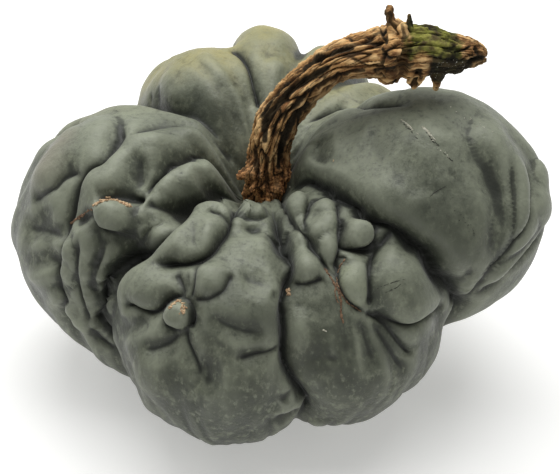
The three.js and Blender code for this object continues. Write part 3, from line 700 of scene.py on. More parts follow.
class Finish:
    """A material whose colour is laid on coat by coat."""

    def __init__(self, name, roughness, gloss):
        self.material = bpy.data.materials.new(name)
        self.material.use_nodes = True
        self.tree = self.material.node_tree
        self.shader = self.tree.nodes["Principled BSDF"]
        self.shader.inputs["Roughness"].default_value = roughness
        self.shader.inputs["Specular IOR Level"].default_value = gloss
        self.place = self.add("ShaderNodeTexCoord").outputs["Object"]
        self.colour = None

    def add(self, kind, **settings):
        made = self.tree.nodes.new(kind)
        for name, value in settings.items():
            setattr(made, name, value)
        return made

    def feed(self, socket, value):
        """Puts a number or a colour on a socket, or joins a node's output to it."""
        if isinstance(value, bpy.types.NodeSocket):
            self.tree.links.new(value, socket)
        elif isinstance(value, tuple):
            socket.default_value = (*value, 1.0)
        else:
            socket.default_value = value

    def pattern(self, place, scale, detail, roughness=0.55, distortion=0.0):
        made = self.add("ShaderNodeTexNoise")
        values = {"Vector": place, "Scale": scale, "Detail": detail, "Roughness": roughness,
                  "Distortion": distortion}
        for name, value in values.items():
            self.feed(made.inputs[name], value)
        return made.outputs["Fac"]

    def fitted(self, value, start, end, low=0.0, high=1.0):
        made = self.add("ShaderNodeMapRange", interpolation_type="SMOOTHSTEP")
        values = {"Value": value, "From Min": start, "From Max": end, "To Min": low, "To Max": high}
        for name, number in values.items():
            self.feed(made.inputs[name], number)
        return made.outputs["Result"]

    def maths(self, operation, first, second):
        made = self.add("ShaderNodeMath", operation=operation)
        self.feed(made.inputs[0], first)
        self.feed(made.inputs[1], second)
        return made.outputs["Value"]

    def share_of(self, first, second):
        return self.maths("MULTIPLY", first, second)

    def stored(self, name, output="Fac"):
        """Reads one of the piece's masks, or its grain."""
        return self.add("ShaderNodeAttribute", attribute_name=name).outputs[output]

    def mix(self, share, under, over):
        made = self.add("ShaderNodeMix", data_type="RGBA", clamp_factor=True)
        sockets = {socket.identifier: socket for socket in made.inputs}
        for name, value in (("Factor_Float", share), ("A_Color", under), ("B_Color", over)):
            self.feed(sockets[name], value)
        return [socket for socket in made.outputs if socket.identifier == "Result_Color"][0]

    def coat(self, share, colour):
        """Lays a colour over the ones before it."""
        self.colour = self.mix(share, self.colour, colour)

    def done(self, heights, strength, distance):
        """Joins the colour and the fine relief to the shader."""
        self.feed(self.shader.inputs["Base Color"], self.colour)
        relief = self.add("ShaderNodeBump")
        relief.inputs["Strength"].default_value = strength
        relief.inputs["Distance"].default_value = distance
        self.feed(relief.inputs["Height"], heights)
        self.feed(self.shader.inputs["Normal"], relief.outputs["Normal"])
        return self.material


# Colours of the skin, from the ground coat outwards. Shaded and lit are painted shade and painted top
# light; swell and ridge are painted highlights; dark, hollow, nick and crease are painted shade; sun is a
# yellow tint that is also painted light.
SKIN_GREENS = {
    "shaded": (0.040, 0.047, 0.031),
    "shaded pale": (0.056, 0.062, 0.040),
    "lit": (0.200, 0.217, 0.158),
    "sun": (0.27, 0.25, 0.105),
    "sun pale": (0.42, 0.365, 0.125),
    "young": (0.25, 0.275, 0.175),
    "cloud pale": (0.24, 0.262, 0.183),
    "cloud dark": (0.037, 0.043, 0.030),
    "speckle": (0.027, 0.032, 0.022),
    "dot": (0.27, 0.27, 0.21),
    "swell": (0.235, 0.255, 0.185),
    "ridge": (0.29, 0.31, 0.235),
    "rosy": (0.25, 0.19, 0.15),
    "dark": (0.028, 0.034, 0.021),
    "hollow": (0.022, 0.026, 0.018),
    "nick": (0.022, 0.025, 0.019),
    "crease": (0.014, 0.016, 0.012),
}


def waxy_skin():
    skin = Finish("waxy_skin", 0.5, 0.4)
    stretched = skin.add("ShaderNodeMapping")
    stretched.inputs["Scale"].default_value = (1.0, 1.0, 0.65)
    skin.feed(stretched.inputs["Vector"], skin.place)
    lengthwise = stretched.outputs["Vector"]

    drift = skin.pattern(skin.place, 16.0, 3.0)
    cloud = skin.pattern(lengthwise, 95.0, 7.0, 0.66)
    mottle = skin.pattern(lengthwise, 300.0, 5.0, 0.65)
    speckle = skin.pattern(skin.place, 480.0, 4.0, 0.6)
    dots = skin.pattern(skin.place, 1100.0, 1.0, 0.5)
    broad, fine = skin.stored("broad_swell"), skin.stored("fine_swell")
    sun_tint_and_light = skin.stored("sun_tint_and_light")

    green = SKIN_GREENS
    sun_tint_and_light_colour = skin.mix(skin.fitted(drift, 0.4, 0.6), green["sun"], green["sun pale"])
    skin.colour = skin.mix(skin.fitted(drift, 0.35, 0.68), green["shaded"], green["shaded pale"])
    young = skin.share_of(skin.stored("young"), skin.fitted(cloud, 0.2, 0.55, 0.4, 0.8))
    # Where each coat shows, and its colour. A noise or a swelling fades in from its first number to its
    # second, up to the strength given last.
    coats = [
        # painted top light: the skin that faces up is painted lighter
        (skin.stored("upward"), green["lit"]),
        # yellow tint and painted light on the back and top side
        (skin.share_of(sun_tint_and_light, 0.95), sun_tint_and_light_colour),
        (young, green["young"]),
        (skin.fitted(cloud, 0.50, 0.71, 0.0, 0.6), green["cloud pale"]),
        (skin.fitted(cloud, 0.49, 0.28, 0.0, 0.78), green["cloud dark"]),
        (skin.fitted(mottle, 0.50, 0.74, 0.0, 0.6), green["cloud dark"]),
        (skin.fitted(mottle, 0.49, 0.31, 0.0, 0.55), green["cloud pale"]),
        (skin.fitted(speckle, 0.54, 0.74, 0.0, 0.45), green["speckle"]),
        (skin.fitted(dots, 0.70, 0.78, 0.0, 0.3), green["dot"]),
        # painted highlights: swellings and fine ridges are painted paler
        (skin.fitted(broad, 0.1, 1.5, 0.0, 0.5), green["swell"]),
        (skin.fitted(fine, 0.05, 0.4, 0.0, 0.28), green["ridge"]),
        # again the yellow tint and painted light of the back and top side
        (skin.share_of(sun_tint_and_light, 0.45), sun_tint_and_light_colour),
        (skin.share_of(skin.stored("rosy"), 0.3), green["rosy"]),
        # painted shade: dark patches where the skin lies in shade
        (skin.share_of(skin.stored("shade_patches"), 0.5), green["dark"]),
        # painted shade: broad hollows, fine creases and the creases' floors are painted dark
        (skin.fitted(broad, -0.05, -1.8, 0.0, 0.85), green["hollow"]),
        (skin.fitted(fine, -0.05, -0.3, 0.0, 0.6), green["nick"]),
        (skin.stored("crease"), green["crease"]),
    ]
    for share, colour in coats:
        skin.coat(share, colour)

    skin.shader.inputs["Sheen Weight"].default_value = 0.12
    skin.shader.inputs["Sheen Roughness"].default_value = 0.45
    skin.feed(skin.shader.inputs["Roughness"], skin.fitted(cloud, 0.3, 0.7, 0.44, 0.6))
    heights = skin.maths("ADD", skin.share_of(cloud, 0.8), skin.share_of(mottle, 0.45))
    heights = skin.maths("ADD", heights, skin.share_of(speckle, 0.18))
    return skin.done(heights, 0.6, 0.0016)


def make_fruit():
    ball = bmesh.new()
    bmesh.ops.create_cube(ball, size=2.0)
    bmesh.ops.subdivide_edges(ball, edges=ball.edges[:], cuts=SKIN_CUTS, use_grid_fill=True)
    lean = Vector(VIEW_BACK * FRONT_LEAN)
    for vert in ball.verts:
        even = Vector([math.tan(value * math.pi / 4) for value in vert.co]).normalized()
        vert.co = (even + lean).normalized()
    ball.verts.index_update()
    masks = grow_skin(ball)
    fruit = piece_from(ball, "fruit_skin", waxy_skin())
    for name, values in masks.items():
        mask(fruit, name, values)
    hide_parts("fruit")
    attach(fruit, "root")
    return fruit


fruit_skin = make_fruit()


# Corky scars and scratches, made of crumbs that lie on the skin: picture points of the line, spread,
# limits of the crumb size, how long a crumb is along the line, how many there are, and their kind
CRUMB_SEED = 7
CRUMB_SCATTER = 0.5
CRUMB_WIDTHS = (0.6, 1.0)
CRUMB_HEIGHT = 0.7
SCAR_STEPS = 6
TINY = 0.001
SCARS = {
    "knob scar": ([(96, 204), (103, 201), (112, 200), (121, 202), (129, 206)], 1.7, (0.5, 1.1),
        1.0, 150, "cork"),
    "knob tail": ([(92, 209), (84, 214), (77, 219), (71, 223)], 0.6, (0.4, 0.8), 1.4, 46, "rust"),
    "thumb scar": ([(170, 308), (174, 303), (179, 301), (183, 305), (182, 312)], 1.3, (0.4, 0.9),
        1.0, 80, "cork"),
    "valley stub": ([(288, 289), (289, 295)], 1.0, (0.5, 1.0), 1.0, 26, "cork"),
    "pale knob edge": ([(344, 260), (339, 269), (337, 281), (341, 293), (348, 303),
        (361, 311)], 0.35, (0.3, 0.6), 2.0, 60, "rust"),
    "long crack": ([(325, 269), (332, 280), (338, 291), (341, 302), (341, 312),
        (343, 322)], 0.4, (0.3, 0.7), 2.0, 80, "rust"),
    "crack branch": ([(337, 284), (335, 293), (338, 303)], 0.3, (0.3, 0.5), 2.0, 22, "rust"),
    "left knob scar": ([(333, 160), (334, 162)], 0.3, (0.3, 0.4), 1.0, 3, "cork"),
    "scratch": ([(402, 120), (407, 124), (413, 130)], 0.3, (0.25, 0.4), 4.0, 16, "pale"),
    "scratch two": ([(423, 127), (428, 132), (435, 140)], 0.35, (0.3, 0.5), 4.0, 18, "pale"),
    "scratch three": ([(409, 126), (418, 134)], 0.6, (0.2, 0.3), 3.0, 10, "pale"),
    "scratch specks": ([(431, 137), (438, 146), (451, 160)], 1.2, (0.2, 0.35), 1.5, 16, "pale"),
    "scratch shade": ([(404, 124), (411, 131), (417, 139)], 0.4, (0.2, 0.32), 3.0, 16, "dark"),
    "scratch shade two": ([(426, 132), (434, 142), (441, 148)], 0.5, (0.2, 0.32), 3.0, 16, "dark"),
    "scratch end": ([(441, 151), (447, 156), (453, 162)], 0.5, (0.2, 0.3), 2.5, 10, "dark"),
    "bulge scratch": ([(378, 288), (391, 283), (404, 279)], 0.3, (0.15, 0.25), 4.0, 14, "dark"),
    "bulge scratch two": ([(386, 293), (397, 287), (401, 284)], 0.3, (0.15, 0.25), 4.0, 9, "dark"),
    "right nick mark": ([(429, 197), (437, 191), (447, 186)], 0.2, (0.2, 0.3), 4.0, 10, "dark"),
    "right specks": ([(455, 210), (468, 226), (476, 240)], 2.2, (0.2, 0.4), 1.2, 16, "dark"),
    "upper specks": ([(446, 107), (478, 124), (494, 136)], 2.0, (0.25, 0.4), 1.2, 12, "pale"),
    "low speck": ([(324, 330), (326, 331)], 0.4, (0.4, 0.6), 1.0, 5, "pale"),
    "hub speck": ([(289, 187), (291, 187)], 0.4, (0.4, 0.6), 1.0, 4, "pale"),
}
CRUMB_COLOURS = {
    "cork": ((0.27, 0.15, 0.075), (0.62, 0.46, 0.28)),
    "rust": ((0.10, 0.055, 0.03), (0.27, 0.165, 0.095)),
    "pale": ((0.36, 0.35, 0.27), (0.66, 0.64, 0.53)),
    "dark": ((0.016, 0.018, 0.013), (0.045, 0.045, 0.034)),
}


def crumbly(name, dark, light):
    crumb = Finish(name, 0.85, 0.5)
    grains = crumb.pattern(crumb.place, 900.0, 4.0, 0.6)
    crumb.colour = crumb.mix(crumb.fitted(grains, 0.38, 0.62), dark, light)
    return crumb.done(grains, 0.5, 0.0004)


def strew_crumbs(kind, skin_tree, chance):
    """Flat crumbs sunk halfway into the skin, under the sight lines of the scars of one kind."""
    heap = bmesh.new()
    for picture_points, spread, sizes, stretch, count, scar_kind in SCARS.values():
        if scar_kind != kind:
            continue
        line = smooth_line(picture_points, SCAR_STEPS)
        for _ in range(count):
            at = chance.uniform(0, len(line) - 1 - TINY)
            start, end = line[int(at)], line[int(at) + 1]
            spot = start + (end - start) * (at % 1)
            sight = Vector(sight_lines([spot])[0])
            place, normal, _, _ = skin_tree.ray_cast(Vector(VIEW_EYE * MM), sight)
            if place is None:
                continue
            run = Vector(sight_lines([end])[0] - sight_lines([start])[0])
            run = (run - normal * run.dot(normal)).normalized()
            side = normal.cross(run)
            scatter = spread * CRUMB_SCATTER
            place += (run * chance.gauss(0, scatter) + side * chance.gauss(0, scatter)) * MM
            size = chance.uniform(*sizes) * MM
            turn = Matrix((run, side, normal)).transposed().to_4x4()
            width = size * chance.uniform(*CRUMB_WIDTHS)
            shape = Matrix.Diagonal((size * stretch, width, size * CRUMB_HEIGHT, 1))
            laid = Matrix.Translation(place) @ turn @ shape
            bmesh.ops.create_icosphere(heap, subdivisions=1, radius=1, matrix=laid)
    return heap


def make_scars():
    chance = random.Random(CRUMB_SEED)
    shape = bmesh.new()
    shape.from_mesh(fruit_skin.data)
    skin_tree = BVHTree.FromBMesh(shape)
    shape.free()
    for kind, (dark, light) in CRUMB_COLOURS.items():
        name = kind + "_crumbs"
        crumbs = piece_from(strew_crumbs(kind, skin_tree, chance), name, crumbly(name, dark, light))
        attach(crumbs, "root")


make_scars()


# Stem: a bent rod in an upright plane, with what stands out of it. Points are picture points on that
# plane; other sizes are in millimetres.
STEM_PLANE = -2.0
STEM_SIDE = np.array([0.0, 1.0, 0.0])
STEM_LINE = [(266, 197), (268, 172), (270, 148), (274, 130), (281, 116), (290, 103), (303, 87), (318, 75),
             (337, 63), (359, 56), (382, 53), (404, 51), (428, 50), (451, 53), (468, 53), (478, 54),
             (484, 57)]
STEM_RADII = [12.5, 11.8, 11.0, 11.6, 11.4, 10.6, 9.8, 9.4, 10.0, 11.2, 13.0, 13.2, 12.6, 10.3, 8.2, 5.6,
              2.4]
STEM_ROOT = 12.0
STEM_STEPS = 8
STEM_AROUND = 48
STEM_RINGS = 120
STEM_GLANCE = 0.01
STEM_VOXEL = 0.5
BRANCH_SIDES = 20
LUMP_ROUNDS = 3

# Cones on the stem: foot and tip points, how far their foot and tip stand towards the front,
# the two radii, and how flat they are from front to back
STEM_BRANCHES = {
    "prong": ((396, 50), (388, 9), 3, 1, 8.5, 2.9, 0.5),
    "prong edge": ((401, 48), (397, 20), 2, 0, 6.0, 1.3, 0.5),
    "prong tooth": ((389, 22), (392, 7), 1, 1, 2.4, 1.0, 0.8),
    "torn rim": ((405, 48), (403, 26), 4, 3, 8.5, 3.4, 0.5),
    "torn rim back": ((404, 48), (408, 24), -5, -7, 8.0, 3.0, 0.5),
    "spike": ((411, 44), (409, 15), 2, 1, 4.2, 0.6, 0.7),
    "torn rim end": ((419, 46), (420, 27), 3, 1, 8.0, 3.8, 0.6),
    "tip stub": ((438, 62), (436, 89), 2, 2, 7.0, 0.9, 0.9),
    "tip shard": ((468, 48), (479, 43), 1, 2, 5.0, 1.8, 0.8),
    "tip crumb": ((472, 52), (483, 51), 4, 4, 4.0, 1.6, 0.8),
    "tip hook": ((474, 60), (487, 60), 0, 0, 4.0, 0.8, 0.8),
    "foot left": ((263, 168), (238, 177), 6, 7, 7.6, 1.6, 0.8),
    "foot low left": ((264, 180), (250, 191), 7, 13, 6.4, 1.6, 0.8),
    "foot low": ((268, 182), (271, 204), 7, 14, 7.2, 1.8, 0.8),
    "foot low right": ((272, 180), (284, 193), 6, 13, 6.4, 1.6, 0.8),
    "foot right": ((274, 168), (293, 179), 4, 6, 7.0, 1.6, 0.9),
    "foot back": ((266, 176), (262, 166), -6, -14, 7.0, 2.2, 0.9),
    "foot back right": ((272, 176), (282, 166), -6, -12, 7.0, 2.2, 0.9),
}

# The hollow stub: the same values without the flatness. Then its wall, how deep it is hollow, how far
# its rim slants and the way its mouth faces.
HOLLOW_STUB = ((421, 58), (411, 91), 7, 9, 6.6, 3.5)
STUB_WALL = 1.1
STUB_HOLLOW = 14.0
STUB_SLANT = 5.2
STUB_FACES = (0, -1, 0.6)
STUB_SIDES = 28

# The small stub's tip, which stays free of moss and crust
PALE_PRICK = [(437, 81), (436, 90)]

# Lumps of cork round the collar: picture point, distance to the front, radius
STEM_LUMPS = {
    "collar crown": ((389, 43), 6, 5.6),
    "collar": ((392, 52), 10, 6.8),
    "collar low": ((391, 63), 9.5, 6.8),
    "collar under": ((389, 73), 5, 6.2),
    "collar inner": ((383, 70), 6, 5.0),
    "collar back": ((392, 56), -9, 6.5),
    "collar back low": ((390, 68), -7, 6.0),
    "collar knot": ((379, 63), 9, 4.6),
    "gap wall": ((407, 68), 0, 5.6),
    "tip back swelling": ((430, 48), -5, 8.5),
}

# Grooves on the side of the stem that faces the viewpoint: half width, depth, how black they are painted
# (painted shade, with the dark floor of the groove), picture points
STEM_GROOVES = {
    "main groove": (2.4, 3.2, 1.0, [(265, 140), (265, 123), (271, 112), (278, 103), (287, 94), (293, 88),
        (302, 82), (309, 78), (318, 73), (327, 68)]),
    "upper groove": (1.8, 2.4, 1.0, [(303, 68), (311, 62), (320, 57), (330, 54), (341, 50), (352, 48)]),
    "lower groove": (2.4, 3.0, 1.0, [(279, 166), (281, 154), (283, 142), (287, 133), (292, 122), (300, 112),
        (308, 105)]),
    "inner groove": (1.2, 1.8, 1.0, [(272, 136), (275, 126), (279, 118), (286, 113), (294, 107), (303, 97),
        (309, 89)]),
    "edge groove": (1.1, 1.6, 1.0, [(262, 117), (268, 106), (274, 98), (280, 90), (288, 81)]),
    "far groove": (1.1, 1.6, 0.9, [(318, 88), (328, 80), (340, 76), (352, 71), (364, 70)]),
    "far groove two": (1.0, 1.4, 0.8, [(352, 58), (362, 63), (370, 66), (380, 64)]),
    "foot groove": (1.5, 1.8, 0.9, [(254, 150), (256, 162), (257, 174)]),
    "foot groove two": (1.4, 1.6, 0.8, [(268, 158), (266, 170), (268, 184)]),
    "cleft": (1.9, 2.8, 1.0, [(382, 25), (384, 33), (386, 42)]),
    "prong groove": (1.0, 1.4, 0.8, [(391, 12), (393, 22), (398, 34)]),
    "rim groove": (1.0, 1.3, 0.7, [(402, 27), (404, 34), (402, 42)]),
    "collar gap": (3.2, 4.4, 0.55, [(409, 47), (406, 54), (403, 63), (403, 76)]),
    "collar crease": (1.0, 1.8, 0.9, [(383, 48), (384, 58), (382, 68), (385, 77)]),
    "stub mouth": (2.3, 1.4, 1.0, [(420, 71), (418, 75), (416, 79)]),
    "tip crack": (0.9, 1.4, 1.0, [(455, 52), (463, 50), (470, 46)]),
    "tip mouth": (1.8, 2.6, 1.0, [(470, 61), (477, 59), (483, 58)]),
    "tip notch": (1.4, 1.8, 1.0, [(475, 47), (477, 51), (478, 54)]),
}
GROOVE_FADE = 0.15
GROOVE_END = 0.4

# Grain of the stem: a place on a straight rod of this radius, drawn out along the stem
GRAIN_RADIUS = 11.0
GRAIN_STRETCH = 0.16

# Cork of the stem: how wide and how high its ridges, fibres, knots, splits, lumps and crumbs are
RIDGE_WIDTH, RIDGE_HEIGHT, RIDGE_LEVEL, RIDGE_EDGE = 4.2, 2.4, 0.75, 0.3
FIBRE_WIDTH, FIBRE_HEIGHT = 1.2, 0.7
KNOT_WIDTH, KNOT_HEIGHT, KNOT_SQUEEZE = 2.3, 0.9, 2.5
SPLIT_WIDTH, SPLIT_DEPTH, SPLIT_EDGES = 2.6, 1.0, (0.13, 0.02)
CORK_WIDTH, SMALL_CORK_WIDTH, CORK_HEIGHT = 4.2, 2.0, 0.6
CORK_AT_FOOT, CORK_AT_COLLAR = 0.6, 1.2
GRIT_WIDTH, GRIT_HEIGHT = 1.3, 0.35
SWAY_WIDTH, SWAY = 14.0, 0.35

# Where the parts of the stem begin and end: the foot in millimetres, the others as shares of its length
FOOT_ENDS = (48.0, 34.0)
TIP_STARTS = (0.8, 0.86)
CRUST_STARTS = (0.775, 0.8)
MOSS_ENDS = (0.938, 0.915)
SOOT_ENDS = (0.97, 0.95)
COLLAR_MIDDLE, COLLAR_WIDTH = 0.745, 0.035
# How much of the cork's ribs, fibres and splits is worn away there
FOOT_WORN = {"ribs": 0.1, "fibres": 0.4, "splits": 0.3}
TIP_WORN = {"ribs": 0.6, "fibres": 0.5}
GRIT_AT_FOOT = 0.4

# Where the masks of the stem's colour begin and end: heights of the cork, then shares of facing a side,
# then millimetres from the stub and from the small stub's tip
LOW_RIDGES, CRESTS = (0.6, 0.25), (0.8, 1.2)
LOW_SPLITS, SPLIT_SHADE = (0.2, 0.8), 0.85
BLACK_HOLLOWS, BLACK_FACING = (0.04, 0.3), (0.0, 0.35)
SIDE_SHADE_FACING, MOSS_FACING, SOOT_FACING = (-0.25, 0.6), (0.3, 0.6), (0.75, 0.5)
STUB_UNSHADED, STUB_BARE, PRICK_BARE = (3.0, 8.0), (4.5, 7.0), (2.5, 4.5)


def on_plane(picture_points, y):
    """Where the sight lines meet the upright plane at this depth."""
    lines = sight_lines(picture_points)
    return VIEW_EYE + lines * ((y - VIEW_EYE[1]) / lines[:, 1])[:, None]


def picture_place(points):
    """The picture points of places in space, and how long a picture unit is there."""
    rays = points - VIEW_EYE
    depth = -(rays @ VIEW_BACK)
    scale = depth * SENSOR_WIDTH / PICTURE_WIDTH / LENS_LENGTH
    across = PICTURE_WIDTH / 2 + (rays @ VIEW_RIGHT) / scale
    down = PICTURE_HEIGHT / 2 - (rays @ VIEW_UP) / scale
    return np.stack([across, down], -1), scale


def stem_middle():
    line = on_plane(STEM_LINE, STEM_PLANE)
    line[0, 2] -= STEM_ROOT
    return smooth_line(line, STEM_STEPS)


def stem_rod(whole, line):
    """A capped cylinder, ringed and bent along the middle line."""
    bmesh.ops.create_cone(whole, cap_ends=True, segments=STEM_AROUND, radius1=1, radius2=1, depth=1)
    sides = [edge for edge in whole.edges if abs(edge.verts[0].co.z - edge.verts[1].co.z) > 0.5]
    bmesh.ops.subdivide_edges(whole, edges=sides, cuts=STEM_RINGS)
    shares = np.linspace(0, 1, len(line))
    for vert in whole.verts:
        share = vert.co.z + 0.5
        middle, ahead, behind = [np.array([np.interp(spot, shares, line[:, axis]) for axis in range(3)])
                                 for spot in (share, share + STEM_GLANCE, share - STEM_GLANCE)]
        over = unit(np.cross(ahead - behind, STEM_SIDE))
        radius = np.interp(share, np.linspace(0, 1, len(STEM_RADII)), STEM_RADII)
        vert.co = Vector(middle + radius * (over * vert.co.x + STEM_SIDE * vert.co.y))


def cone_matrix(start, end, flatness):
    """Stands a cone between two points, thinner from front to back."""
    along = Vector(end - start)
    turn = along.to_track_quat("Z", "Y").to_matrix().to_4x4()
    return Matrix.Translation(Vector((start + end) / 2)) @ turn @ Matrix.Diagonal((1, flatness, 1, 1))


def stem_branches(whole):
    for foot, tip, foot_front, tip_front, foot_radius, tip_radius, flatness in STEM_BRANCHES.values():
        start = on_plane([foot], STEM_PLANE - foot_front)[0]
        end = on_plane([tip], STEM_PLANE - tip_front)[0]
        bmesh.ops.create_cone(whole, cap_ends=True, segments=BRANCH_SIDES, radius1=foot_radius,
                              radius2=tip_radius, depth=np.linalg.norm(end - start),
                              matrix=cone_matrix(start, end, flatness))
    for picture_point, front, radius in STEM_LUMPS.values():
        place = Vector(on_plane([picture_point], STEM_PLANE - front)[0])
        bmesh.ops.create_icosphere(whole, subdivisions=LUMP_ROUNDS, radius=radius,
                                   matrix=Matrix.Translation(place))


def hollow_stub(whole):
    """A short broken tube, cut slantwise so that its mouth faces the front."""
    foot, tip, foot_front, tip_front, foot_radius, tip_radius = HOLLOW_STUB
    start = on_plane([foot], STEM_PLANE - foot_front)[0]
    end = on_plane([tip], STEM_PLANE - tip_front)[0]
    length = np.linalg.norm(end - start)
    made = bmesh.ops.create_cone(whole, cap_ends=True, segments=STUB_SIDES, radius1=foot_radius,
                                 radius2=tip_radius, depth=length)
    mouth = max({face for vert in made["verts"] for face in vert.link_faces},
                key=lambda face: face.calc_center_median().z)
    ring = bmesh.ops.inset_individual(whole, faces=[mouth], thickness=STUB_WALL)["faces"]
    floor = bmesh.ops.extrude_discrete_faces(whole, faces=[mouth])["faces"][0]
    bmesh.ops.translate(whole, verts=floor.verts, vec=(0, 0, -STUB_HOLLOW))
    upright = cone_matrix(start, end, 1.0)
    to_front = (upright.to_3x3().inverted() @ Vector(STUB_FACES)).normalized()
    rim = {vert for face in ring for vert in face.verts}
    for vert in rim:
        vert.co.z -= STUB_SLANT * (1 + Vector((vert.co.x, vert.co.y, 0)).normalized().dot(to_front))
    tube = list({vert for vert in made["verts"]} | rim | set(floor.verts))
    bmesh.ops.transform(whole, matrix=upright, verts=tube)


def one_body(shape, voxel):
    """Melts overlapping closed shells into one even skin."""
    draft = bpy.data.meshes.new("draft")
    shape.to_mesh(draft)
    shape.free()
    holder = bpy.data.objects.new("draft", draft)
    bpy.context.scene.collection.objects.link(holder)
    melt = holder.modifiers.new("melt", "REMESH")
    melt.mode = "VOXEL"
    melt.voxel_size = voxel
    holder_now = holder.evaluated_get(bpy.context.evaluated_depsgraph_get())
    body = bmesh.new()
    body.from_mesh(holder_now.to_mesh())
    bpy.data.objects.remove(holder)
    bpy.data.meshes.remove(draft)
    return body


def groove_depths(places, facing):
    """How deep the picture's grooves cut each point of the stem that faces the viewpoint, and how black
    they paint it as painted shade.
    """
    seen, unit_length = picture_place(places)
    cut, black = np.zeros((2, len(places)))
    for half_width, depth, blackness, picture_points in STEM_GROOVES.values():
        line = smooth_line(picture_points)
        _, far, along = nearest_on_line(seen, line)
        share = np.clip(far * unit_length / half_width, 0, 1)
        fade = smooth_share(np.minimum(along, 1 - along), 0, GROOVE_FADE)
        hollow = (1 - share * share) ** 1.5 * (GROOVE_END + (1 - GROOVE_END) * fade)
        cut = np.maximum(cut, depth * hollow)
        black = np.maximum(black, blackness * smooth_share(hollow, *BLACK_HOLLOWS))
    seen_share = smooth_share(facing, *BLACK_FACING)
    return cut * seen_share, black * seen_share


def stem_grain(places, line):
    """Where each point lies on a straight rod, its share along the stem, and the stem's length."""
    middle, _, along = nearest_on_line(places, line)
    lengths = np.linalg.norm(np.diff(line, axis=0), axis=1)
    length = lengths.sum()
    shares = np.concatenate([[0], np.cumsum(lengths)]) / length
    slope = np.gradient(line, axis=0)
    ahead = unit(np.stack([np.interp(along, shares, slope[:, axis]) for axis in range(3)], -1))
    over = unit(np.cross(ahead, STEM_SIDE))
    radial = places - middle
    turn = np.arctan2((radial * STEM_SIDE).sum(-1), (radial * over).sum(-1))
    round_rod = [GRAIN_RADIUS * np.cos(turn), GRAIN_RADIUS * np.sin(turn)]
    return np.stack([*round_rod, along * length * GRAIN_STRETCH], -1), along, length


def cork_noises(grain, places):
    """Noise for the ridges, fibres, knots, splits, cork and grit at each point of the stem."""
    rows = np.empty((len(places), 6))
    for row, thread, place in zip(rows, grain, places):
        thread, place = Vector(thread), Vector(place)
        sway = SWAY * noise.noise(place / SWAY_WIDTH)
        row[0] = abs(noise.noise(thread / RIDGE_WIDTH + Vector((sway, 2.0, sway))))
        row[1] = noise.noise(thread / FIBRE_WIDTH)
        row[2] = noise.noise(Vector((thread.x, thread.y, KNOT_SQUEEZE * thread.z)) / KNOT_WIDTH)
        row[3] = abs(noise.noise(thread / SPLIT_WIDTH + Vector((5.0, sway, 1.0))))
        row[4] = noise.noise(place / CORK_WIDTH) + 0.5 * noise.noise(place / SMALL_CORK_WIDTH)
        row[5] = noise.noise(place / GRIT_WIDTH)
    return rows.T


def weather_stem(body, line):
    """Presses cork, ridges and grooves into the stem and returns the masks that its colour needs."""
    body.normal_update()
    places = np.array([vert.co[:] for vert in body.verts])
    normals = np.array([vert.normal[:] for vert in body.verts])
    grain, along, length = stem_grain(places, line)
    ridges, fibres, knots, splits, cork, grit = cork_noises(grain, places)
    foot = smooth_share(along * length, *FOOT_ENDS)
    tip = smooth_share(along, *TIP_STARTS)
    collar = np.exp(-((along - COLLAR_MIDDLE) / COLLAR_WIDTH) ** 2)
    ridge = np.clip(ridges / RIDGE_EDGE, 0, 1) ** 0.6
    grooves, black = groove_depths(places, normals @ VIEW_BACK)
    ribbed = (1 - FOOT_WORN["ribs"] * foot) * (1 - TIP_WORN["ribs"] * tip)
    fibrous = (1 - FOOT_WORN["fibres"] * foot) * (1 - TIP_WORN["fibres"] * tip)
    split = smooth_share(splits, *SPLIT_EDGES) * (1 - FOOT_WORN["splits"] * foot)
    height = RIDGE_HEIGHT * (ridge - RIDGE_LEVEL) * ribbed
    height += (FIBRE_HEIGHT * fibres + KNOT_HEIGHT * knots) * fibrous
    height += cork * (CORK_HEIGHT + CORK_AT_FOOT * foot + CORK_AT_COLLAR * collar)
    height += GRIT_HEIGHT * grit * (1 + GRIT_AT_FOOT * foot) - SPLIT_DEPTH * split
    places = places + normals * (height - grooves)[:, None]
    for vert, place in zip(body.verts, places * MM):
        vert.co = place

    # painted shade, with the dark of the groove floors: the low ground between ridges, the grooves and the
    # splits are painted near black
    low = np.maximum(smooth_share(ridge + 0.3 * knots, *LOW_RIDGES) * ribbed, black)
    low = np.maximum(low, SPLIT_SHADE * smooth_share(split, *LOW_SPLITS))
    # the paler cork of the ridge tops, and a painted highlight along them
    crest_highlight = smooth_share(ridge + 0.5 * fibres + 0.5 * knots, *CRESTS)
    stub = nearest_on_line(places, on_plane(HOLLOW_STUB[:2], STEM_PLANE - HOLLOW_STUB[3]))[1]
    prick = nearest_on_line(places, on_plane(PALE_PRICK, STEM_PLANE - STEM_BRANCHES["tip stub"][3]))[1]
    # painted shade: the side of the stem that faces right and down is painted darker, except near the stub
    side_shade = smooth_share(0.6 * normals[:, 0] - 0.8 * normals[:, 2] + 0.3 * cork, *SIDE_SHADE_FACING)
    side_shade *= smooth_share(stub, *STUB_UNSHADED)
    upward = normals[:, 2] - 0.35 * normals[:, 1] + 0.25 * cork
    ragged = along + 0.02 * cork
    crust = smooth_share(ragged, *CRUST_STARTS)
    crust *= smooth_share(stub, *STUB_BARE) * smooth_share(prick, *PRICK_BARE)
    moss = crust * smooth_share(upward, *MOSS_FACING) * smooth_share(ragged, *MOSS_ENDS)
    soot = crust * smooth_share(upward, *SOOT_FACING) * smooth_share(ragged, *SOOT_ENDS)
    return grain, {"groove": low, "crest_highlight": crest_highlight, "side_shade": side_shade, "foot": foot, "moss": moss, "soot": soot}


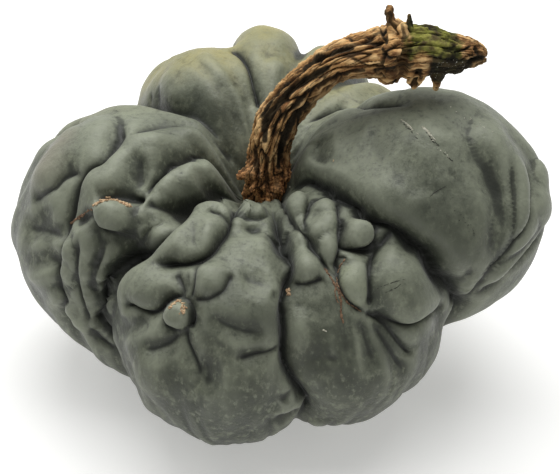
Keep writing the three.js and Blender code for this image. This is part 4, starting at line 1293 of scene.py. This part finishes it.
# Colours of the stem; a pair is the dark and the light of a mottled finish
BARK_COLOURS = {
    "brown": ((0.15, 0.068, 0.024), (0.60, 0.345, 0.135)),
    "rust": ((0.085, 0.030, 0.013), (0.68, 0.33, 0.13)),
    "moss": ((0.012, 0.018, 0.005), (0.21, 0.23, 0.04)),
    "soot": ((0.004, 0.006, 0.004), (0.026, 0.028, 0.012)),
    # the near black of the painted shade in grooves
    "depths": ((0.004, 0.005, 0.003), (0.016, 0.013, 0.007)),
}
STREAK_BROWN = (0.34, 0.15, 0.055)
CRUMB_BROWN = (0.10, 0.045, 0.02)
CREST_HIGHLIGHT_TAN = (0.86, 0.57, 0.265)
SIDE_SHADE_BROWN = (0.045, 0.026, 0.012)
DUST = (0.45, 0.44, 0.38)


def corky_stem():
    bark = Finish("corky_stem", 0.86, 0.25)
    grain = bark.stored("grain", "Vector")
    threads = bark.pattern(grain, 0.75, 5.0, 0.65, 0.4)
    streaks = bark.pattern(grain, 0.22, 3.0, 0.6)
    crumbs = bark.pattern(bark.place, 700.0, 4.0, 0.65)
    patches = bark.pattern(bark.place, 150.0, 3.0, 0.6)
    specks = bark.pattern(bark.place, 1100.0, 1.0, 0.5)

    bark.colour = bark.mix(bark.fitted(threads, 0.40, 0.60), *BARK_COLOURS["brown"])
    rust = bark.mix(bark.fitted(crumbs, 0.40, 0.64), *BARK_COLOURS["rust"])
    moss = bark.mix(bark.fitted(patches, 0.36, 0.60), *BARK_COLOURS["moss"])
    soot = bark.mix(bark.fitted(patches, 0.45, 0.65), *BARK_COLOURS["soot"])
    depths = bark.mix(bark.fitted(crumbs, 0.4, 0.7), *BARK_COLOURS["depths"])
    # Where each coat shows, and its colour
    coats = [
        (bark.fitted(streaks, 0.5, 0.7, 0.0, 0.6), STREAK_BROWN),
        (bark.fitted(crumbs, 0.55, 0.75, 0.0, 0.5), CRUMB_BROWN),
        # paler ridge tops with a painted highlight
        (bark.share_of(bark.stored("crest_highlight"), 0.85), CREST_HIGHLIGHT_TAN),
        # painted shade on the side of the stem away from the light
        (bark.share_of(bark.stored("side_shade"), 0.55), SIDE_SHADE_BROWN),
        (bark.share_of(bark.stored("foot"), 0.8), rust),
        (bark.share_of(bark.stored("moss"), 0.9), moss),
        (bark.share_of(bark.stored("soot"), 0.93), soot),
        (bark.share_of(bark.fitted(specks, 0.68, 0.74), bark.stored("soot")), DUST),
        # painted shade in grooves, hollows and splits
        (bark.share_of(bark.stored("groove"), 0.95), depths),
    ]
    for share, colour in coats:
        bark.coat(share, colour)
    return bark.done(bark.maths("ADD", threads, bark.share_of(crumbs, 0.7)), 0.8, 0.0009)


def make_stem():
    line = stem_middle()
    whole = bmesh.new()
    stem_rod(whole, line)
    stem_branches(whole)
    hollow_stub(whole)
    body = one_body(whole, STEM_VOXEL)
    grain, masks = weather_stem(body, line)
    stem = piece_from(body, "stem_cork", corky_stem())
    layer = stem.data.attributes.new("grain", "FLOAT_VECTOR", "POINT")
    layer.data.foreach_set("vector", grain.astype(np.float32).ravel())
    for name, values in masks.items():
        mask(stem, name, values)
    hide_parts("stem")
    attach(stem, "root")


make_stem()


# Floor, light and camera


FLOOR_SIZE = 4.0
FLOOR_COLOUR = (0.80, 0.80, 0.79, 1.0)
FLOOR_GLOW_COLOUR = (1.0, 1.0, 0.98, 1.0)
FLOOR_GLOW = 0.36
SKY_LIGHT = 0.27
# Lamps: place in metres, size and power
LAMPS = {
    "overhead": ((0.04, 0.34, 1.32), 1.3, 21.0),
    "window": ((-0.80, 0.35, 0.75), 0.5, 2.0),
}


def make_floor():
    shape = bmesh.new()
    bmesh.ops.create_grid(shape, x_segments=1, y_segments=1, size=FLOOR_SIZE)
    paper = Finish("pale_floor", 0.9, 0.5)
    paper.shader.inputs["Base Color"].default_value = FLOOR_COLOUR
    paper.shader.inputs["Emission Color"].default_value = FLOOR_GLOW_COLOUR
    paper.shader.inputs["Emission Strength"].default_value = FLOOR_GLOW
    piece_from(shape, "floor", paper.material)


def aim(thing, place, target):
    thing.location = place
    thing.rotation_euler = (Vector(target) - Vector(place)).to_track_quat("-Z", "Y").to_euler()


def soft_light(name, place, size, power):
    lamp = bpy.data.lights.new(name, "AREA")
    lamp.size = size
    lamp.energy = power
    thing = bpy.data.objects.new(name, lamp)
    bpy.context.scene.collection.objects.link(thing)
    aim(thing, place, HEART * MM)


def light_studio():
    for name, (place, size, power) in LAMPS.items():
        soft_light(name, place, size, power)
    sky = bpy.data.worlds.new("sky")
    sky.use_nodes = True
    background = sky.node_tree.nodes["Background"]
    background.inputs["Color"].default_value = (1.0, 1.0, 1.0, 1.0)
    background.inputs["Strength"].default_value = SKY_LIGHT
    bpy.context.scene.world = sky
    bpy.context.scene.view_settings.view_transform = "Standard"


def set_camera():
    lens = bpy.data.cameras.new("camera")
    lens.lens = LENS_LENGTH
    lens.sensor_width = SENSOR_WIDTH
    camera = bpy.data.objects.new("camera", lens)
    bpy.context.scene.collection.objects.link(camera)
    aim(camera, Vector(VIEW_EYE * MM), VIEW_TARGET * MM)
    bpy.context.scene.camera = camera


make_floor()
light_studio()
set_camera()
